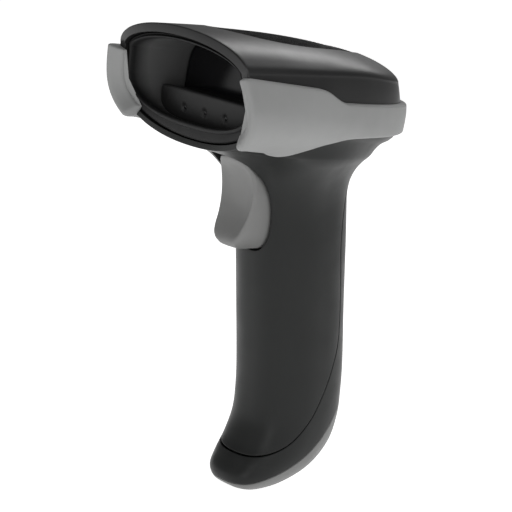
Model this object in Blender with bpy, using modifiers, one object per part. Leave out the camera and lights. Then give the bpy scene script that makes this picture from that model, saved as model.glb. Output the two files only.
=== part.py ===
"""Handheld cordless barcode scanner, built as an assembly of separate solids.

The head lies along Y with its nose at -Y, and the handle hangs below it, raked back towards +Y.
X = 0 is the plane of symmetry. Sizes and places below are in millimetres; MM turns them into metres.
"""

import math

import bmesh
import bpy
import numpy as np
from mathutils import Matrix, Vector

MM = 0.001
GAP = 0.3  # clearance between pieces that touch
WALL = 2.0  # thickness of the moulded shells
MID_SHIFT = 0.88  # moves the design along Y, so that Y = 0 is the middle of the object's length
LOWEST_Z = 0.9  # height of the boot's lowest point in the design, which becomes Z = 0

# How finely the shells are divided.
SIDE_COLUMNS = 47  # round the head, from one nose corner to the other
RIM_COLUMNS = 18  # under the nose

# Head, seen from above: a blunt superellipse that starts at the nose.
HEAD_HALF_WIDTH = 35.5
HEAD_NOSE_Y = -45.6
HEAD_LENGTH = 95.3
PLAN_X_POWER = 2.2
PLAN_Y_POWER = 4.5
PARTING_Z = 149.0  # the top cover sits on the lower shells here, under the bumper
PARTING_GAP = 1.0  # the lower shells stop this far below the cover
NOSE_SLOPE = 0.315  # the upper lip of the nose leans forward by this much per unit of height
LEAN_END_Y = 10.0

# Head, seen from the side.
RIDGE = [(-52.0, 171.7), (-20.0, 172.3), (7.0, 171.4), (20.0, 170.0), (48.0, 166.0)]
CREASE = [(-52.0, 160.8), (-20.0, 162.2), (12.0, 162.7), (30.0, 161.3), (49.0, 159.0)]
CREASE_INSET = [(-52.0, 3.3), (-20.0, 1.7), (10.0, 1.6), (49.0, 2.8)]
ROOF_POLE_Y = 20.0  # the roof's rear part fans out from this point of the ridge
ROOF_POWER = [(-46.0, 2.05), (0.0, 2.05), (30.0, 1.8), (50.0, 1.65)]
BELLY_DEPTH = [(-46.0, 17.7), (0.0, 15.5), (49.0, 15.9)]
BELLY_POWER = [(-46.0, 2.3), (-10.0, 2.3), (25.0, 3.7), (50.0, 5.4)]

# Handle: a raked superellipse column that blends into the head, and a boot below it.
HANDLE_TOP_Z = 100.0
HANDLE_FRONT_Y = -3.8
HANDLE_BACK_Y = 38.4
HANDLE_RAKE = 0.22
HANDLE_HALF_WIDTH = 18.0
HANDLE_POWER = 2.4
NECK_BLEND = [(-50.0, 28.0), (5.0, 28.0), (22.0, 20.0), (60.0, 16.0)]
NECK_BLEND_FADE = 16.0  # the blend dies away over this height below the parting line
# Each row of the boot: front point (y, z), back point (y, z), half width.
BOOT = [
    ((3.0, 70.0), (43.8, 73.0), 17.9),
    ((7.4, 50.0), (48.2, 53.0), 17.8),
    ((9.4, 38.0), (50.2, 41.0), 17.6),
    ((9.8, 28.0), (51.0, 30.0), 17.4),
    ((7.2, 19.4), (48.6, 19.6), 17.0),
    ((3.4, 12.8), (40.6, 10.4), 15.8),
    ((1.0, 7.8), (27.8, 4.2), 13.2),
    ((2.4, 3.8), (16.2, 1.5), 9.0),
    ((6.2, 1.8), (10.0, 0.9), 3.8),
]


# Lines of the side view (y, z) that split the lower body into its shells.
SHELL_SEAM = [
    (42.0, 153.0), (36.5, 141.0), (29.5, 127.0), (26.4, 113.0), (26.8, 101.0), (30.4, 86.0),
    (33.8, 70.6), (34.9, 60.0), (33.4, 51.0), (30.4, 40.0), (26.5, 31.0), (18.5, 21.5),
    (10.5, 17.0), (3.0, 15.0), (-9.0, 14.4),
]
SOLE_EDGE = [
    (62.0, 54.0), (50.5, 44.0), (44.2, 35.5), (38.1, 26.7), (30.1, 18.0), (20.9, 12.0),
    (11.9, 7.9), (5.5, 5.4), (-9.0, 3.4),
]
SEAT_POINT = (41.0, 12.9)  # middle of the flat on the sole, in the side view
SEAT_NORMAL = (0.7330, -0.6802)

CONTACT_SPACING = 7.0
CONTACT_OFFSET = 4.0  # the contacts sit this far towards the heel from the middle of the flat
HANDLE_SCREWS = [108.0, 62.0]  # heights of the screws in the handle's back

# Grille in the roof: a leaf-shaped plate.
# Half of the leaf's outline: (y, half width) from its front tip to its back tip.
LEAF_EDGE = [
    (-35.5, 0.0), (-34.2, 5.0), (-31.5, 10.2), (-27.0, 14.8), (-19.0, 18.2), (-9.0, 19.4), (3.0, 18.0),
    (15.0, 14.2), (26.0, 9.0), (34.5, 4.4), (41.5, 0.0),
]
GRILLE_SINK = 0.4
GRILLE_THICKNESS = 1.4

# Bumper: a rubber band round the head that hooks over the nose rim.
BUMPER_TOP = [
    (-50.0, 160.4), (-34.0, 159.6), (-20.0, 158.8), (-16.0, 158.5), (-13.6, 158.0), (-6.6, 154.9),
    (-4.6, 154.35), (0.0, 154.2), (20.0, 153.9), (50.0, 153.5),
]
BUMPER_BOTTOM = [
    (-50.0, 137.0), (-36.0, 136.1), (-22.4, 135.4), (-16.0, 135.9), (-10.0, 137.9), (-4.0, 140.5),
    (0.0, 141.7), (4.0, 142.2), (9.0, 142.4), (25.0, 142.6), (50.0, 142.8),
]
BUMPER_GAP = 0.6
BUMPER_THICKNESS = 1.7
LIP_WIDTH = 3.7
# The lip's section at the nose: (outward from the rim, forward of it), for the outside and for the bed.
LIP_OUTSIDE = [(2.3, 1.8), (2.2, 3.4), (1.6, 4.3), (0.8, 4.6), (-1.4, 3.1), (-3.7, 1.0)]
LIP_BED = [(0.6, 0.2), (0.6, 0.35), (0.5, 0.45), (0.2, 0.45), (-1.4, 0.45), (-3.7, 0.45)]

# Nose: the funnel-shaped bezel, and what it frames.
BEZEL_SETBACK = 1.0
FUNNEL_BACK_Y = -23.0
FUNNEL_MIDDLE_Z = 151.5
FUNNEL_HALF = (26.0, 16.2)
FUNNEL_POWER = 3.6
LEDGE_TOP_Z = 149.4
LEDGE_FRONT_Y = -35.8
LENS_SPACING = 10.5
LENS_Z = 142.9
LENS_TALL = 1.4  # the lenses are ovals, this many times as tall as wide
WINDOW_LOW_Z = 147.0  # the ledge hides the window's lower edge
BOARD_Z = 146.6

# Trigger, in the side view.
PIVOT = (-6.5, 128.5)
TRIGGER_HALF_WIDTH = 9.4
# Half of the trigger's outline seen from the front: (x, z) from its bottom to its top.
TRIGGER_OUTLINE = [
    (0.0, 94.0), (2.8, 94.5), (5.2, 96.4), (7.2, 100.4), (8.3, 107.0), (9.0, 113.5),
    (9.2, 119.0), (8.9, 123.0), (7.3, 126.2), (4.4, 127.7), (0.0, 128.1),
]
TRIGGER_FACE = [
    (-22.0, 128.4), (-19.9, 126.9), (-17.9, 125.2), (-15.9, 122.6), (-14.5, 119.0), (-13.7, 115.0),
    (-13.6, 111.0), (-14.4, 106.0), (-15.9, 101.5), (-16.6, 98.8), (-16.0, 96.6), (-13.4, 95.0),
    (-8.0, 94.2),
]
TRIGGER_BACK = [
    (0.4, 94.8), (0.6, 97.0), (0.6, 115.0), (-3.0, 119.5), (-7.0, 123.0), (-11.0, 125.6),
]
TRIGGER_BORE = 1.55
PIN_RADIUS = 1.25
SWITCH_Z = 103.0
SPRING_Z = 112.0

# Battery cell, in the handle.
CELL_RADIUS = 9.2
CELL_LENGTH = 65.0
CELL_MIDDLE = (25.6, 61.0)
CELL_TILT = math.atan(0.21)


def smooth_curve(points, at):
    """A curve through the points, by Catmull-Rom, read at one or many places."""
    points = np.asarray(points, float)
    x, y = points[:, 0], points[:, 1:]
    slope = np.gradient(y, x, axis=0)
    at = np.atleast_1d(np.asarray(at, float)).clip(x[0], x[-1])
    low = np.clip(np.searchsorted(x, at) - 1, 0, len(x) - 2)
    width = (x[low + 1] - x[low])[:, None]
    s = (at[:, None] - x[low][:, None]) / width
    found = (
        (1 + 2 * s) * (1 - s) ** 2 * y[low]
        + s * (1 - s) ** 2 * width * slope[low]
        + s * s * (3 - 2 * s) * y[low + 1]
        + s * s * (s - 1) * width * slope[low + 1]
    )
    return found


def level(points, at):
    return smooth_curve(points, at)[:, 0]


def spread(points, count):
    """The same open path, with count points at even distances."""
    points = np.asarray(points, float)
    steps = np.linalg.norm(np.diff(points, axis=0), axis=1)
    along = np.concatenate([[0], np.cumsum(steps)])
    at = np.linspace(0, along[-1], count)
    return np.stack([np.interp(at, along, column) for column in points.T], axis=1)


def lean(y, z):
    """Y of a head point, sheared so that the nose plane leans forward at its top."""
    fade = np.clip((LEAN_END_Y - y) / (LEAN_END_Y - HEAD_NOSE_Y), 0, 1)
    return y - NOSE_SLOPE * (z - PARTING_Z) * fade


def unlean(y, z):
    """The inverse of lean."""
    reach = LEAN_END_Y - HEAD_NOSE_Y
    shift = NOSE_SLOPE * (z - PARTING_Z) / reach
    plain = (y + shift * LEAN_END_Y) / (1 + shift)
    return np.where(plain < LEAN_END_Y, plain, y)


def head_outline(count):
    """Plan outline of the head at the parting line, from the +X nose corner round the back to the other."""
    turn = np.linspace(0, math.pi / 2, 800) ** 3 / (math.pi / 2) ** 2
    x = HEAD_HALF_WIDTH * np.cos(turn).clip(0) ** (2 / PLAN_X_POWER)
    y = HEAD_NOSE_Y + HEAD_LENGTH * np.sin(turn) ** (2 / PLAN_Y_POWER)
    half = np.stack([x, y], axis=1)
    whole = np.concatenate([half, (half * [-1, 1])[-2::-1]])
    return spread(whole, count)


def outline_inward(outline):
    """Unit vectors that point into the head from each outline point."""
    along = np.gradient(outline, axis=0)
    inward = np.stack([-along[:, 1], along[:, 0]], axis=1)
    return inward / np.linalg.norm(inward, axis=1)[:, None]


def nose_lower_rim(count):
    """The nose's lower edge, from the -X corner under the nose to the +X corner, corners left out."""
    turn = np.linspace(math.pi, 0, 400)
    x = HEAD_HALF_WIDTH * np.sign(np.cos(turn)) * np.abs(np.cos(turn)) ** (2 / PLAN_X_POWER)
    depth = level(BELLY_DEPTH, HEAD_NOSE_Y)
    z = PARTING_Z - depth * np.sin(turn).clip(0) ** (2 / level(BELLY_POWER, HEAD_NOSE_Y))
    y = lean(np.full_like(z, HEAD_NOSE_Y), z)
    return spread(np.stack([x, y, z], axis=1), count + 2)[1:-1]


def head_distance(points):
    """Roughly how far points are outside the lower half of the head."""
    x, y, z = points.T
    plain = unlean(y, z)
    depth = level(BELLY_DEPTH, plain)
    plan = np.abs(x / HEAD_HALF_WIDTH) ** PLAN_X_POWER
    plan = plan + (np.maximum(plain - HEAD_NOSE_Y, 0) / HEAD_LENGTH) ** PLAN_Y_POWER
    down = np.maximum(PARTING_Z - z, 0) / depth
    power = level(BELLY_POWER, plain)
    return ((plan + down**power) ** (1 / power) - 1) * depth


def handle_distance(points):
    """Roughly how far points are outside the raked column of the handle."""
    x, y, z = points.T
    middle = (HANDLE_FRONT_Y + HANDLE_BACK_Y) / 2 - HANDLE_RAKE * (z - HANDLE_TOP_Z)
    half_depth = (HANDLE_BACK_Y - HANDLE_FRONT_Y) / 2
    power = HANDLE_POWER
    size = np.abs(x / HANDLE_HALF_WIDTH) ** power + np.abs((y - middle) / half_depth) ** power
    return (size ** (1 / power) - 1) * HANDLE_HALF_WIDTH


def blended_distance(points):
    head, handle = head_distance(points), handle_distance(points)
    fade = ((PARTING_Z - points[:, 2]) / NECK_BLEND_FADE).clip(0, 1)
    reach = level(NECK_BLEND, points[:, 1]) * fade + GAP
    near = np.maximum(reach - np.abs(head - handle), 0) / reach
    return np.minimum(head, handle) - near**2 * reach / 4


def settle(points, rounds=10):
    """Moves points onto the surface where the head and the handle blend."""
    step = 0.05
    for _ in range(rounds):
        here = blended_distance(points)
        slope = np.stack(
            [
                (blended_distance(points + step * axis) - blended_distance(points - step * axis)) / (2 * step)
                for axis in np.eye(3)
            ],
            axis=1,
        )
        size = np.maximum((slope**2).sum(axis=1), 0.05)
        points = points - (here / size)[:, None] * slope
    return points


def handle_ring(front, back, half_width, turns):
    """One closed section of the handle, between a front and a back point of its side view."""
    front, back = np.asarray(front, float), np.asarray(back, float)
    across = np.sign(np.cos(turns)) * np.abs(np.cos(turns)) ** (2 / HANDLE_POWER)
    along = np.sign(np.sin(turns)) * np.abs(np.sin(turns)) ** (2 / HANDLE_POWER)
    side = (front + back) / 2 + along[:, None] * (back - front) / 2
    return np.stack([half_width * across, side[:, 0], side[:, 1]], axis=1)


def lower_body_rows(columns, front_columns, neck_rows, boot_rows):
    """Rows of points from the parting line, down the neck and the handle, to the tip of the boot."""
    outline = head_outline(columns - front_columns)
    rim = np.column_stack([outline[:, 0], outline[:, 1], np.full(len(outline), PARTING_Z)])
    loop = np.concatenate([rim, nose_lower_rim(front_columns)])
    corner = math.radians(-52)
    turns = np.concatenate(
        [
            np.linspace(corner, math.pi - corner, columns - front_columns),
            np.linspace(math.pi - corner, 2 * math.pi + corner, front_columns + 2)[1:-1],
        ]
    )
    top_front = (HANDLE_FRONT_Y, HANDLE_TOP_Z)
    top_back = (HANDLE_BACK_Y, HANDLE_TOP_Z)
    ring = handle_ring(top_front, top_back, HANDLE_HALF_WIDTH, turns)
    rise = ring + np.array([0, -HANDLE_RAKE * 24, 24])
    middle = np.array([0, 12.0, 126.0])
    rows = [loop]
    for part in np.linspace(0, 1, neck_rows + 1)[1:-1]:
        bend = loop + 0.3 * (middle - loop)
        s = part
        guess = (1 - s) ** 3 * loop + 3 * s * (1 - s) ** 2 * bend + 3 * s * s * (1 - s) * rise + s**3 * ring
        rows.append(settle(guess))
    rows.append(ring)
    knots = [(top_front, top_back, HANDLE_HALF_WIDTH)] + BOOT
    table = [[i, *front, *back, width] for i, (front, back, width) in enumerate(knots)]
    for row in smooth_curve(table, np.linspace(0, len(BOOT), boot_rows + 1)[1:]):
        rows.append(handle_ring(row[0:2], row[2:4], row[4], turns))
    return rows


def cover_columns(columns, side_rows, roof_rows):
    """Columns of points that climb from the parting line over the crease to the ridge."""
    outline = head_outline(columns)
    inward = outline_inward(outline)
    crease_z = level(CREASE, outline[:, 1])
    crease = outline + inward * level(CREASE_INSET, outline[:, 1])[:, None]
    crease[0, 1] = crease[-1, 1] = HEAD_NOSE_Y
    ridge_y = np.minimum(outline[:, 1], ROOF_POLE_Y)
    rows = []
    for part in np.linspace(0, 1, side_rows + 1):
        flat = outline + (crease - outline) * part**1.5
        rows.append(np.column_stack([flat, PARTING_Z + (crease_z - PARTING_Z) * part]))
    ridge = np.column_stack([np.zeros(columns), ridge_y, level(RIDGE, ridge_y)])
    edge = rows[-1]
    power = level(ROOF_POWER, outline[:, 1])
    for turn in np.linspace(0, math.pi / 2, roof_rows + 1)[1:]:
        across = 1 - max(np.cos(turn), 0) ** (2 / power)
        up = np.sin(turn) ** (2 / power)
        flat = edge[:, :2] + (ridge[:, :2] - edge[:, :2]) * across[:, None]
        rows.append(np.column_stack([flat, edge[:, 2] + (ridge[:, 2] - edge[:, 2]) * up]))
    rows = np.array(rows)
    rows[..., 1] = lean(rows[..., 1], rows[..., 2])
    return rows


def head_side(outline, part, low, high):
    """Points of the head's side wall, from height low to height high at each outline point."""
    z = low + (high - low) * part
    depth = level(BELLY_DEPTH, outline[:, 1])
    down = (np.maximum(PARTING_Z - z, 0) / depth).clip(0, 0.98)
    share = 1 - down ** level(BELLY_POWER, outline[:, 1])
    x = outline[:, 0] * share ** (1 / PLAN_X_POWER)
    y = HEAD_NOSE_Y + (outline[:, 1] - HEAD_NOSE_Y) * share ** (1 / PLAN_Y_POWER)
    rise = ((z - PARTING_Z) / (level(CREASE, outline[:, 1]) - PARTING_Z)).clip(0, 1)
    inset = outline_inward(outline) * (level(CREASE_INSET, outline[:, 1]) * rise**1.5)[:, None]
    inset[[0, -1], 1] = 0
    return np.column_stack([x + inset[:, 0], lean(y + inset[:, 1], z), z])


def surface_normals(grid):
    across, up = np.gradient(grid, axis=1), np.gradient(grid, axis=0)
    normal = np.cross(across, up)
    return normal / np.linalg.norm(normal, axis=2)[..., None]


def bumper_loops(columns, rows):
    """Closed sections of the bumper, from one nose lip round the head to the other."""
    outline = head_outline(columns)
    low, high = level(BUMPER_BOTTOM, outline[:, 1]), level(BUMPER_TOP, outline[:, 1])
    wall = np.array([head_side(outline, part, low, high) for part in np.linspace(0, 1, rows)])
    below = wall[..., 2] < PARTING_Z - 1
    below[:, [0, -1]] = False
    wall[below] = settle(wall[below])
    normal = surface_normals(wall)
    inner = wall + normal * BUMPER_GAP
    outer = wall + normal * (BUMPER_GAP + BUMPER_THICKNESS)
    loops = [np.concatenate([outer[:, i], inner[::-1, i]]) for i in range(columns)]
    forward = np.array([0, -1.0, 0])
    for end in (0, -1):
        rim, out = wall[:, end], normal[:, end] * [1, 0, 1]
        hook = []
        for (wide, far), (bed_wide, bed_far) in zip(LIP_OUTSIDE, LIP_BED):
            shell = rim + out * wide + forward * far
            bed = rim + out * bed_wide + forward * bed_far
            hook.append(np.concatenate([shell, bed[::-1]]))
        loops = hook[::-1] + loops if end == 0 else loops + hook
    return loops


def polar_loop(points, count):
    """A closed loop round (0, FUNNEL_MIDDLE_Z), read at even angles."""
    angle = np.arctan2(points[:, 2] - FUNNEL_MIDDLE_Z, points[:, 0])
    order = np.argsort(angle)
    at = np.linspace(-math.pi, math.pi, count, endpoint=False)
    columns = [np.interp(at, angle[order], points[order, k], period=2 * math.pi) for k in range(3)]
    return np.stack(columns, axis=1)


def nose_rim_loop(count):
    """The nose's whole outer rim."""
    cover = cover_columns(81, 4, 24)
    edge = np.concatenate([cover[:, 0], cover[::-1, -1], nose_lower_rim(80)])
    return polar_loop(edge, count)


def inset_loop(loop, distance):
    """A closed loop of the nose plane, moved inward by a distance."""
    along = np.roll(loop, -1, axis=0) - np.roll(loop, 1, axis=0)
    inward = np.stack([-along[:, 2], along[:, 0]], axis=1)
    inward = inward / np.linalg.norm(inward, axis=1)[:, None]
    moved = loop.copy()
    moved[:, 0] += inward[:, 0] * distance
    moved[:, 2] += inward[:, 1] * distance
    moved[:, 1] -= NOSE_SLOPE * inward[:, 1] * distance
    return moved


def funnel_loop(part, count, extra=0.0):
    """A section of the bezel's inner wall: part 0 is at the rim and part 1 at the window."""
    front = inset_loop(nose_rim_loop(count), 4.2) + [0, BEZEL_SETBACK, 0]
    angle = np.linspace(-math.pi, math.pi, count, endpoint=False)
    x = np.sign(np.cos(angle)) * np.abs(np.cos(angle)) ** (2 / FUNNEL_POWER) * FUNNEL_HALF[0]
    z = np.sign(np.sin(angle)) * np.abs(np.sin(angle)) ** (2 / FUNNEL_POWER) * FUNNEL_HALF[1]
    back = np.column_stack([x, np.full(count, FUNNEL_BACK_Y), FUNNEL_MIDDLE_Z + z])
    back = polar_loop(back, count)
    loop = front + (back - front) * part
    return inset_loop(loop, -extra) if extra else loop


# ---- Blender helpers


def clear_scene():
    for obj in list(bpy.data.objects):
        bpy.data.objects.remove(obj, do_unlink=True)


def new_collection(name):
    made = bpy.data.collections.new(name)
    bpy.context.scene.collection.children.link(made)
    return made


def new_material(name, color, roughness, metallic=0.0):
    made = bpy.data.materials.new(name)
    made.use_nodes = True
    shader = made.node_tree.nodes["Principled BSDF"]
    shader.inputs["Base Color"].default_value = (*color, 1)
    shader.inputs["Roughness"].default_value = roughness
    shader.inputs["Metallic"].default_value = metallic
    made.diffuse_color = (*color, 1)
    return made


def place(x, y, z):
    """A design point, in the scene's metres."""
    return Vector((x, y + MID_SHIFT, z - LOWEST_Z)) * MM


def new_object(name, mesh, home, material=None):
    obj = bpy.data.objects.new(name, mesh)
    home.objects.link(obj)
    if material:
        mesh.materials.append(material)
    if home is CUTTERS:
        obj.hide_render = True
        obj.display_type = "WIRE"
    return obj


def mesh_from(bm, name, weld=0.0):
    if weld:
        bmesh.ops.remove_doubles(bm, verts=bm.verts, dist=weld)
    bmesh.ops.recalc_face_normals(bm, faces=bm.faces)
    mesh = bpy.data.meshes.new(name)
    bm.to_mesh(mesh)
    bm.free()
    return mesh


def sheet_bmesh(rows, closed):
    """Quads between rows of points. Each row is closed when the sheet goes all the way round."""
    bm = bmesh.new()
    grid = [[bm.verts.new(place(*point)) for point in row] for row in rows]
    for low, high in zip(grid, grid[1:]):
        count = len(low)
        for i in range(count if closed else count - 1):
            j = (i + 1) % count
            bm.faces.new((low[i], low[j], high[j], high[i]))
    return bm, grid


def loft(name, loops, home, material=None, joined=False):
    """A closed solid through closed loops. Joined means that the last loop meets the first."""
    rows = list(loops) + ([loops[0]] if joined else [])
    bm, grid = sheet_bmesh(rows, True)
    if not joined:
        caps = [bm.faces.new(grid[0]), bm.faces.new(grid[-1])]
        bmesh.ops.triangulate(bm, faces=caps)
    return new_object(name, mesh_from(bm, name, weld=1e-6), home, material)


def side_prism(name, outline, half_width, home, material=None, middle_x=0.0):
    """An outline of the side view (y, z), made solid across the width."""
    loops = [
        [(x, y, z) for y, z in outline]
        for x in (middle_x - half_width, middle_x + half_width)
    ]
    return loft(name, loops, home, material)


def box(name, low, high, home, material=None):
    bm = bmesh.new()
    bmesh.ops.create_cube(bm, size=1.0)
    low, high = Vector(low), Vector(high)
    size = (high - low) * MM
    bmesh.ops.scale(bm, vec=size, verts=bm.verts)
    obj = new_object(name, mesh_from(bm, name), home, material)
    obj.location = place(*((low + high) / 2))
    return obj


def rod(name, radius, start, end, home, material=None, sides=24):
    """A cylinder from one design point to another."""
    start, end = Vector(start), Vector(end)
    bm = bmesh.new()
    length = (end - start).length * MM
    bmesh.ops.create_cone(
        bm, cap_ends=True, segments=sides, radius1=radius * MM, radius2=radius * MM, depth=length
    )
    obj = new_object(name, mesh_from(bm, name), home, material)
    obj.rotation_mode = "QUATERNION"
    obj.rotation_quaternion = (end - start).to_track_quat("Z", "Y")
    obj.location = place(*((start + end) / 2))
    return obj


def boolean(obj, other, operation="DIFFERENCE"):
    modifier = obj.modifiers.new(operation.title(), "BOOLEAN")
    modifier.operation = operation
    modifier.object = other
    modifier.solver = "MANIFOLD" if obj.name in CURVED_SHELLS else "EXACT"
    return modifier


def solidify(obj, thickness, offset=-1.0):
    modifier = obj.modifiers.new("Wall", "SOLIDIFY")
    modifier.thickness = thickness * MM
    modifier.offset = offset
    modifier.use_even_offset = True
    return modifier


def offset_path(path, distance):
    """An open side-view path, moved sideways: positive is towards the body's front and top."""
    path = np.asarray(path, float)
    along = np.gradient(path, axis=0)
    side = np.stack([along[:, 1], -along[:, 0]], axis=1)
    side = side / np.linalg.norm(side, axis=1)[:, None]
    return path + side * distance


def region_behind(name, path, distance):
    """Everything behind and below a side-view path, as a cutter."""
    edge = offset_path(path, distance)
    depth = -20.0
    first_z, last_y, beyond = edge[0][1], edge[-1][0], edge[0][0] + 30
    outline = [*map(tuple, edge), (last_y, depth), (beyond, depth), (beyond, first_z)]
    return side_prism(name, outline, 60.0, CUTTERS)


def plan_prism(name, outline, low, high, home, material=None):
    """An outline seen from above (x, y), made solid between two heights."""
    loops = [[(x, y, z) for x, y in outline] for z in (low, high)]
    return loft(name, loops, home, material)


def front_prism(name, outline, low, high, home, material=None):
    """An outline seen from the front (x, z), made solid between two depths."""
    loops = [[(x, y, z) for x, z in outline] for y in (low, high)]
    return loft(name, loops, home, material)


# ---- The shells


def leaf_outline(grow, count=24):
    """Plan outline of the grille, as a closed loop: a long leaf that is widest near its front."""
    along = np.arange(len(LEAF_EDGE), dtype=float)
    table = np.column_stack([along, LEAF_EDGE])
    half = spread(smooth_curve(table, np.linspace(0, along[-1], 400)), count)[:, ::-1]
    loop = np.concatenate([half, (half * [-1, 1])[-2:0:-1]])
    out = np.roll(loop, -1, axis=0) - np.roll(loop, 1, axis=0)
    out = np.column_stack([out[:, 1], -out[:, 0]]) / np.linalg.norm(out, axis=1)[:, None]
    return loop + out * grow


def cover_mesh():
    bm, _ = sheet_bmesh(cover_columns(SIDE_COLUMNS, 3, 9), False)
    return mesh_from(bm, "cover_sheet", weld=2e-6)


def add_top_cover():
    cover = new_object("top_cover", cover_mesh(), PARTS, GLOSS_BLACK)
    solidify(cover, WALL)
    boolean(cover, plan_prism("grille_opening", leaf_outline(GAP), 150.0, 180.0, CUTTERS))


def add_top_grille():
    grille = new_object("top_grille", cover_mesh(), PARTS, MATT_BLACK)
    grille.location.z = -GRILLE_SINK * MM
    solidify(grille, GRILLE_THICKNESS)
    boolean(grille, plan_prism("grille_outline", leaf_outline(0), 150.0, 180.0, CUTTERS), "INTERSECT")


def lower_body_mesh():
    """The outer surface of the lower body, open at the parting line."""
    rows = lower_body_rows(SIDE_COLUMNS + RIM_COLUMNS, RIM_COLUMNS, 10, 22)
    rows[0][:SIDE_COLUMNS, 2] -= PARTING_GAP
    bm, grid = sheet_bmesh(rows, True)
    bm.faces.new(grid[-1])
    return mesh_from(bm, "lower_body")


def tongue_outline(grow=0.0, count=25):
    """The trigger seen from the front, as a closed loop of (x, z) points."""
    along = np.arange(len(TRIGGER_OUTLINE), dtype=float)
    table = np.column_stack([along, TRIGGER_OUTLINE])
    half = spread(smooth_curve(table, np.linspace(0, along[-1], 400)), count)
    loop = np.concatenate([half, (half * [-1, 1])[-2:0:-1]])
    out = np.roll(loop, -1, axis=0) - np.roll(loop, 1, axis=0)
    out = np.column_stack([out[:, 1], -out[:, 0]]) / np.linalg.norm(out, axis=1)[:, None]
    return loop + out * grow


def add_front_shell():
    shell = new_object("front_shell", lower_body_mesh(), PARTS, SATIN_BLACK)
    solidify(shell, WALL)
    boolean(shell, region_behind("behind_seam", SHELL_SEAM, GAP / 2))
    opening = tongue_outline(0.6)
    boolean(shell, front_prism("trigger_opening", opening, -40.0, 3.0, CUTTERS))


def add_rear_shell():
    shell = new_object("rear_shell", lower_body_mesh(), PARTS, SATIN_BLACK)
    solidify(shell, WALL)
    boolean(shell, region_behind("rear_region", SHELL_SEAM, -GAP / 2), "INTERSECT")
    boolean(shell, region_behind("behind_sole", SOLE_EDGE, GAP / 2))
    for screw_z in HANDLE_SCREWS:
        y = back_of_handle(screw_z)
        outside = (0, y + 8, screw_z)
        boolean(shell, rod(f"screw_hole_{screw_z:.0f}", 1.6, (0, y - 8, screw_z), outside, CUTTERS))
        boolean(shell, rod(f"screw_sink_{screw_z:.0f}", 3.0, (0, y - 1.0, screw_z), outside, CUTTERS))


def seat_frame():
    """Two directions of the side view: out of the sole's flat, and along it towards the heel."""
    out = Vector((0, *SEAT_NORMAL)).normalized()
    return out, Vector((0, -out.z, out.y))


def add_base_cap():
    cap = new_object("base_cap", lower_body_mesh(), PARTS, LIGHT_GREY)
    solidify(cap, WALL + 0.4)
    boolean(cap, region_behind("sole_region", SOLE_EDGE, -GAP / 2), "INTERSECT")
    out, along = seat_frame()
    seat = Vector((0, *SEAT_POINT))
    heel, toe = seat + along * 16, seat - along * 16
    corners = [toe, heel, heel + out * 9, toe + out * 9]
    flat = side_prism("seat_flat", [(c.y, c.z) for c in corners], 30.0, CUTTERS)
    boolean(cap, flat)
    for side in (-1, 1):
        centre = seat + along * CONTACT_OFFSET + Vector((side * CONTACT_SPACING / 2, 0, 0))
        hole = rod(f"contact_hole_{side}", 1.9, centre - out * 8, centre + out * 4, CUTTERS)
        boolean(cap, hole)


def add_bumper():
    loft("bumper", bumper_loops(SIDE_COLUMNS, 6), PARTS, RUBBER_GREY)


# ---- The nose


def add_nose_bezel():
    count = 40
    outer = [inset_loop(nose_rim_loop(count), 3.0) + [0, BEZEL_SETBACK, 0]]
    outer += [funnel_loop(part, count, 1.1) for part in (0.35, 0.7, 1.0)]
    inner = [funnel_loop(part, count) for part in (1.0, 0.7, 0.35, 0.0)]
    loft("nose_bezel", outer + inner, PARTS, MATT_BLACK, joined=True)


def add_chin_ledge():
    loops = []
    for part in (0.0, 0.4, 0.8, 0.985):
        loops.append(funnel_loop(part, 40, -GAP))
    ledge = loft("chin_ledge", loops, PARTS, MATT_BLACK)
    top_and_front = [
        (-80.0, 110.0), (LEDGE_FRONT_Y + 1.9, 128.0), (LEDGE_FRONT_Y - 1.6, LEDGE_TOP_Z),
        (0.0, LEDGE_TOP_Z), (0.0, 200.0), (-80.0, 200.0),
    ]
    boolean(ledge, side_prism("ledge_space", top_and_front, 60.0, CUTTERS))
    for side, word in ((-1, "left"), (0, "middle"), (1, "right")):
        x, y, z = side * LENS_SPACING, LEDGE_FRONT_Y, LENS_Z
        socket = rod(f"lens_socket_{word}", 1.55, (x, y - 6, z), (x, y + 2.4, z), CUTTERS, sides=20)
        socket.scale.x = LENS_TALL
        boolean(ledge, socket)
        boolean(ledge, rod(f"light_bore_{word}", 0.9, (x, y, z), (x, -15.0, z), CUTTERS, sides=12))
        lens = rod(f"led_lens_{word}", 1.2, (x, y - 0.2, z), (x, y + 2.0, z), PARTS, SMOKED, sides=20)
        lens.scale.x = LENS_TALL


def window_outline(inset, low):
    """The window seen from the front: the funnel's back opening, cut straight at height low."""
    half_x, half_z = FUNNEL_HALF[0] - inset, FUNNEL_HALF[1] - inset
    points = []
    for turn in np.linspace(0, 2 * math.pi, 40, endpoint=False):
        x = half_x * np.sign(np.cos(turn)) * np.abs(np.cos(turn)) ** (2 / FUNNEL_POWER)
        z = half_z * np.sign(np.sin(turn)) * np.abs(np.sin(turn)) ** (2 / FUNNEL_POWER)
        points.append((x, max(FUNNEL_MIDDLE_Z + z, low - 0.01 * np.cos(turn))))
    return points


def add_window():
    y = FUNNEL_BACK_Y
    pane = window_outline(0.3, WINDOW_LOW_Z)
    front_prism("scan_window", pane, y + 0.5, y + 2.0, PARTS, SMOKED)
    gasket = front_prism("window_gasket", pane, y + 2.4, y + 3.6, PARTS, DARK_RUBBER)
    opening = window_outline(3.0, WINDOW_LOW_Z + 2.5)
    boolean(gasket, front_prism("gasket_opening", opening, y, y + 6, CUTTERS))


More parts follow.
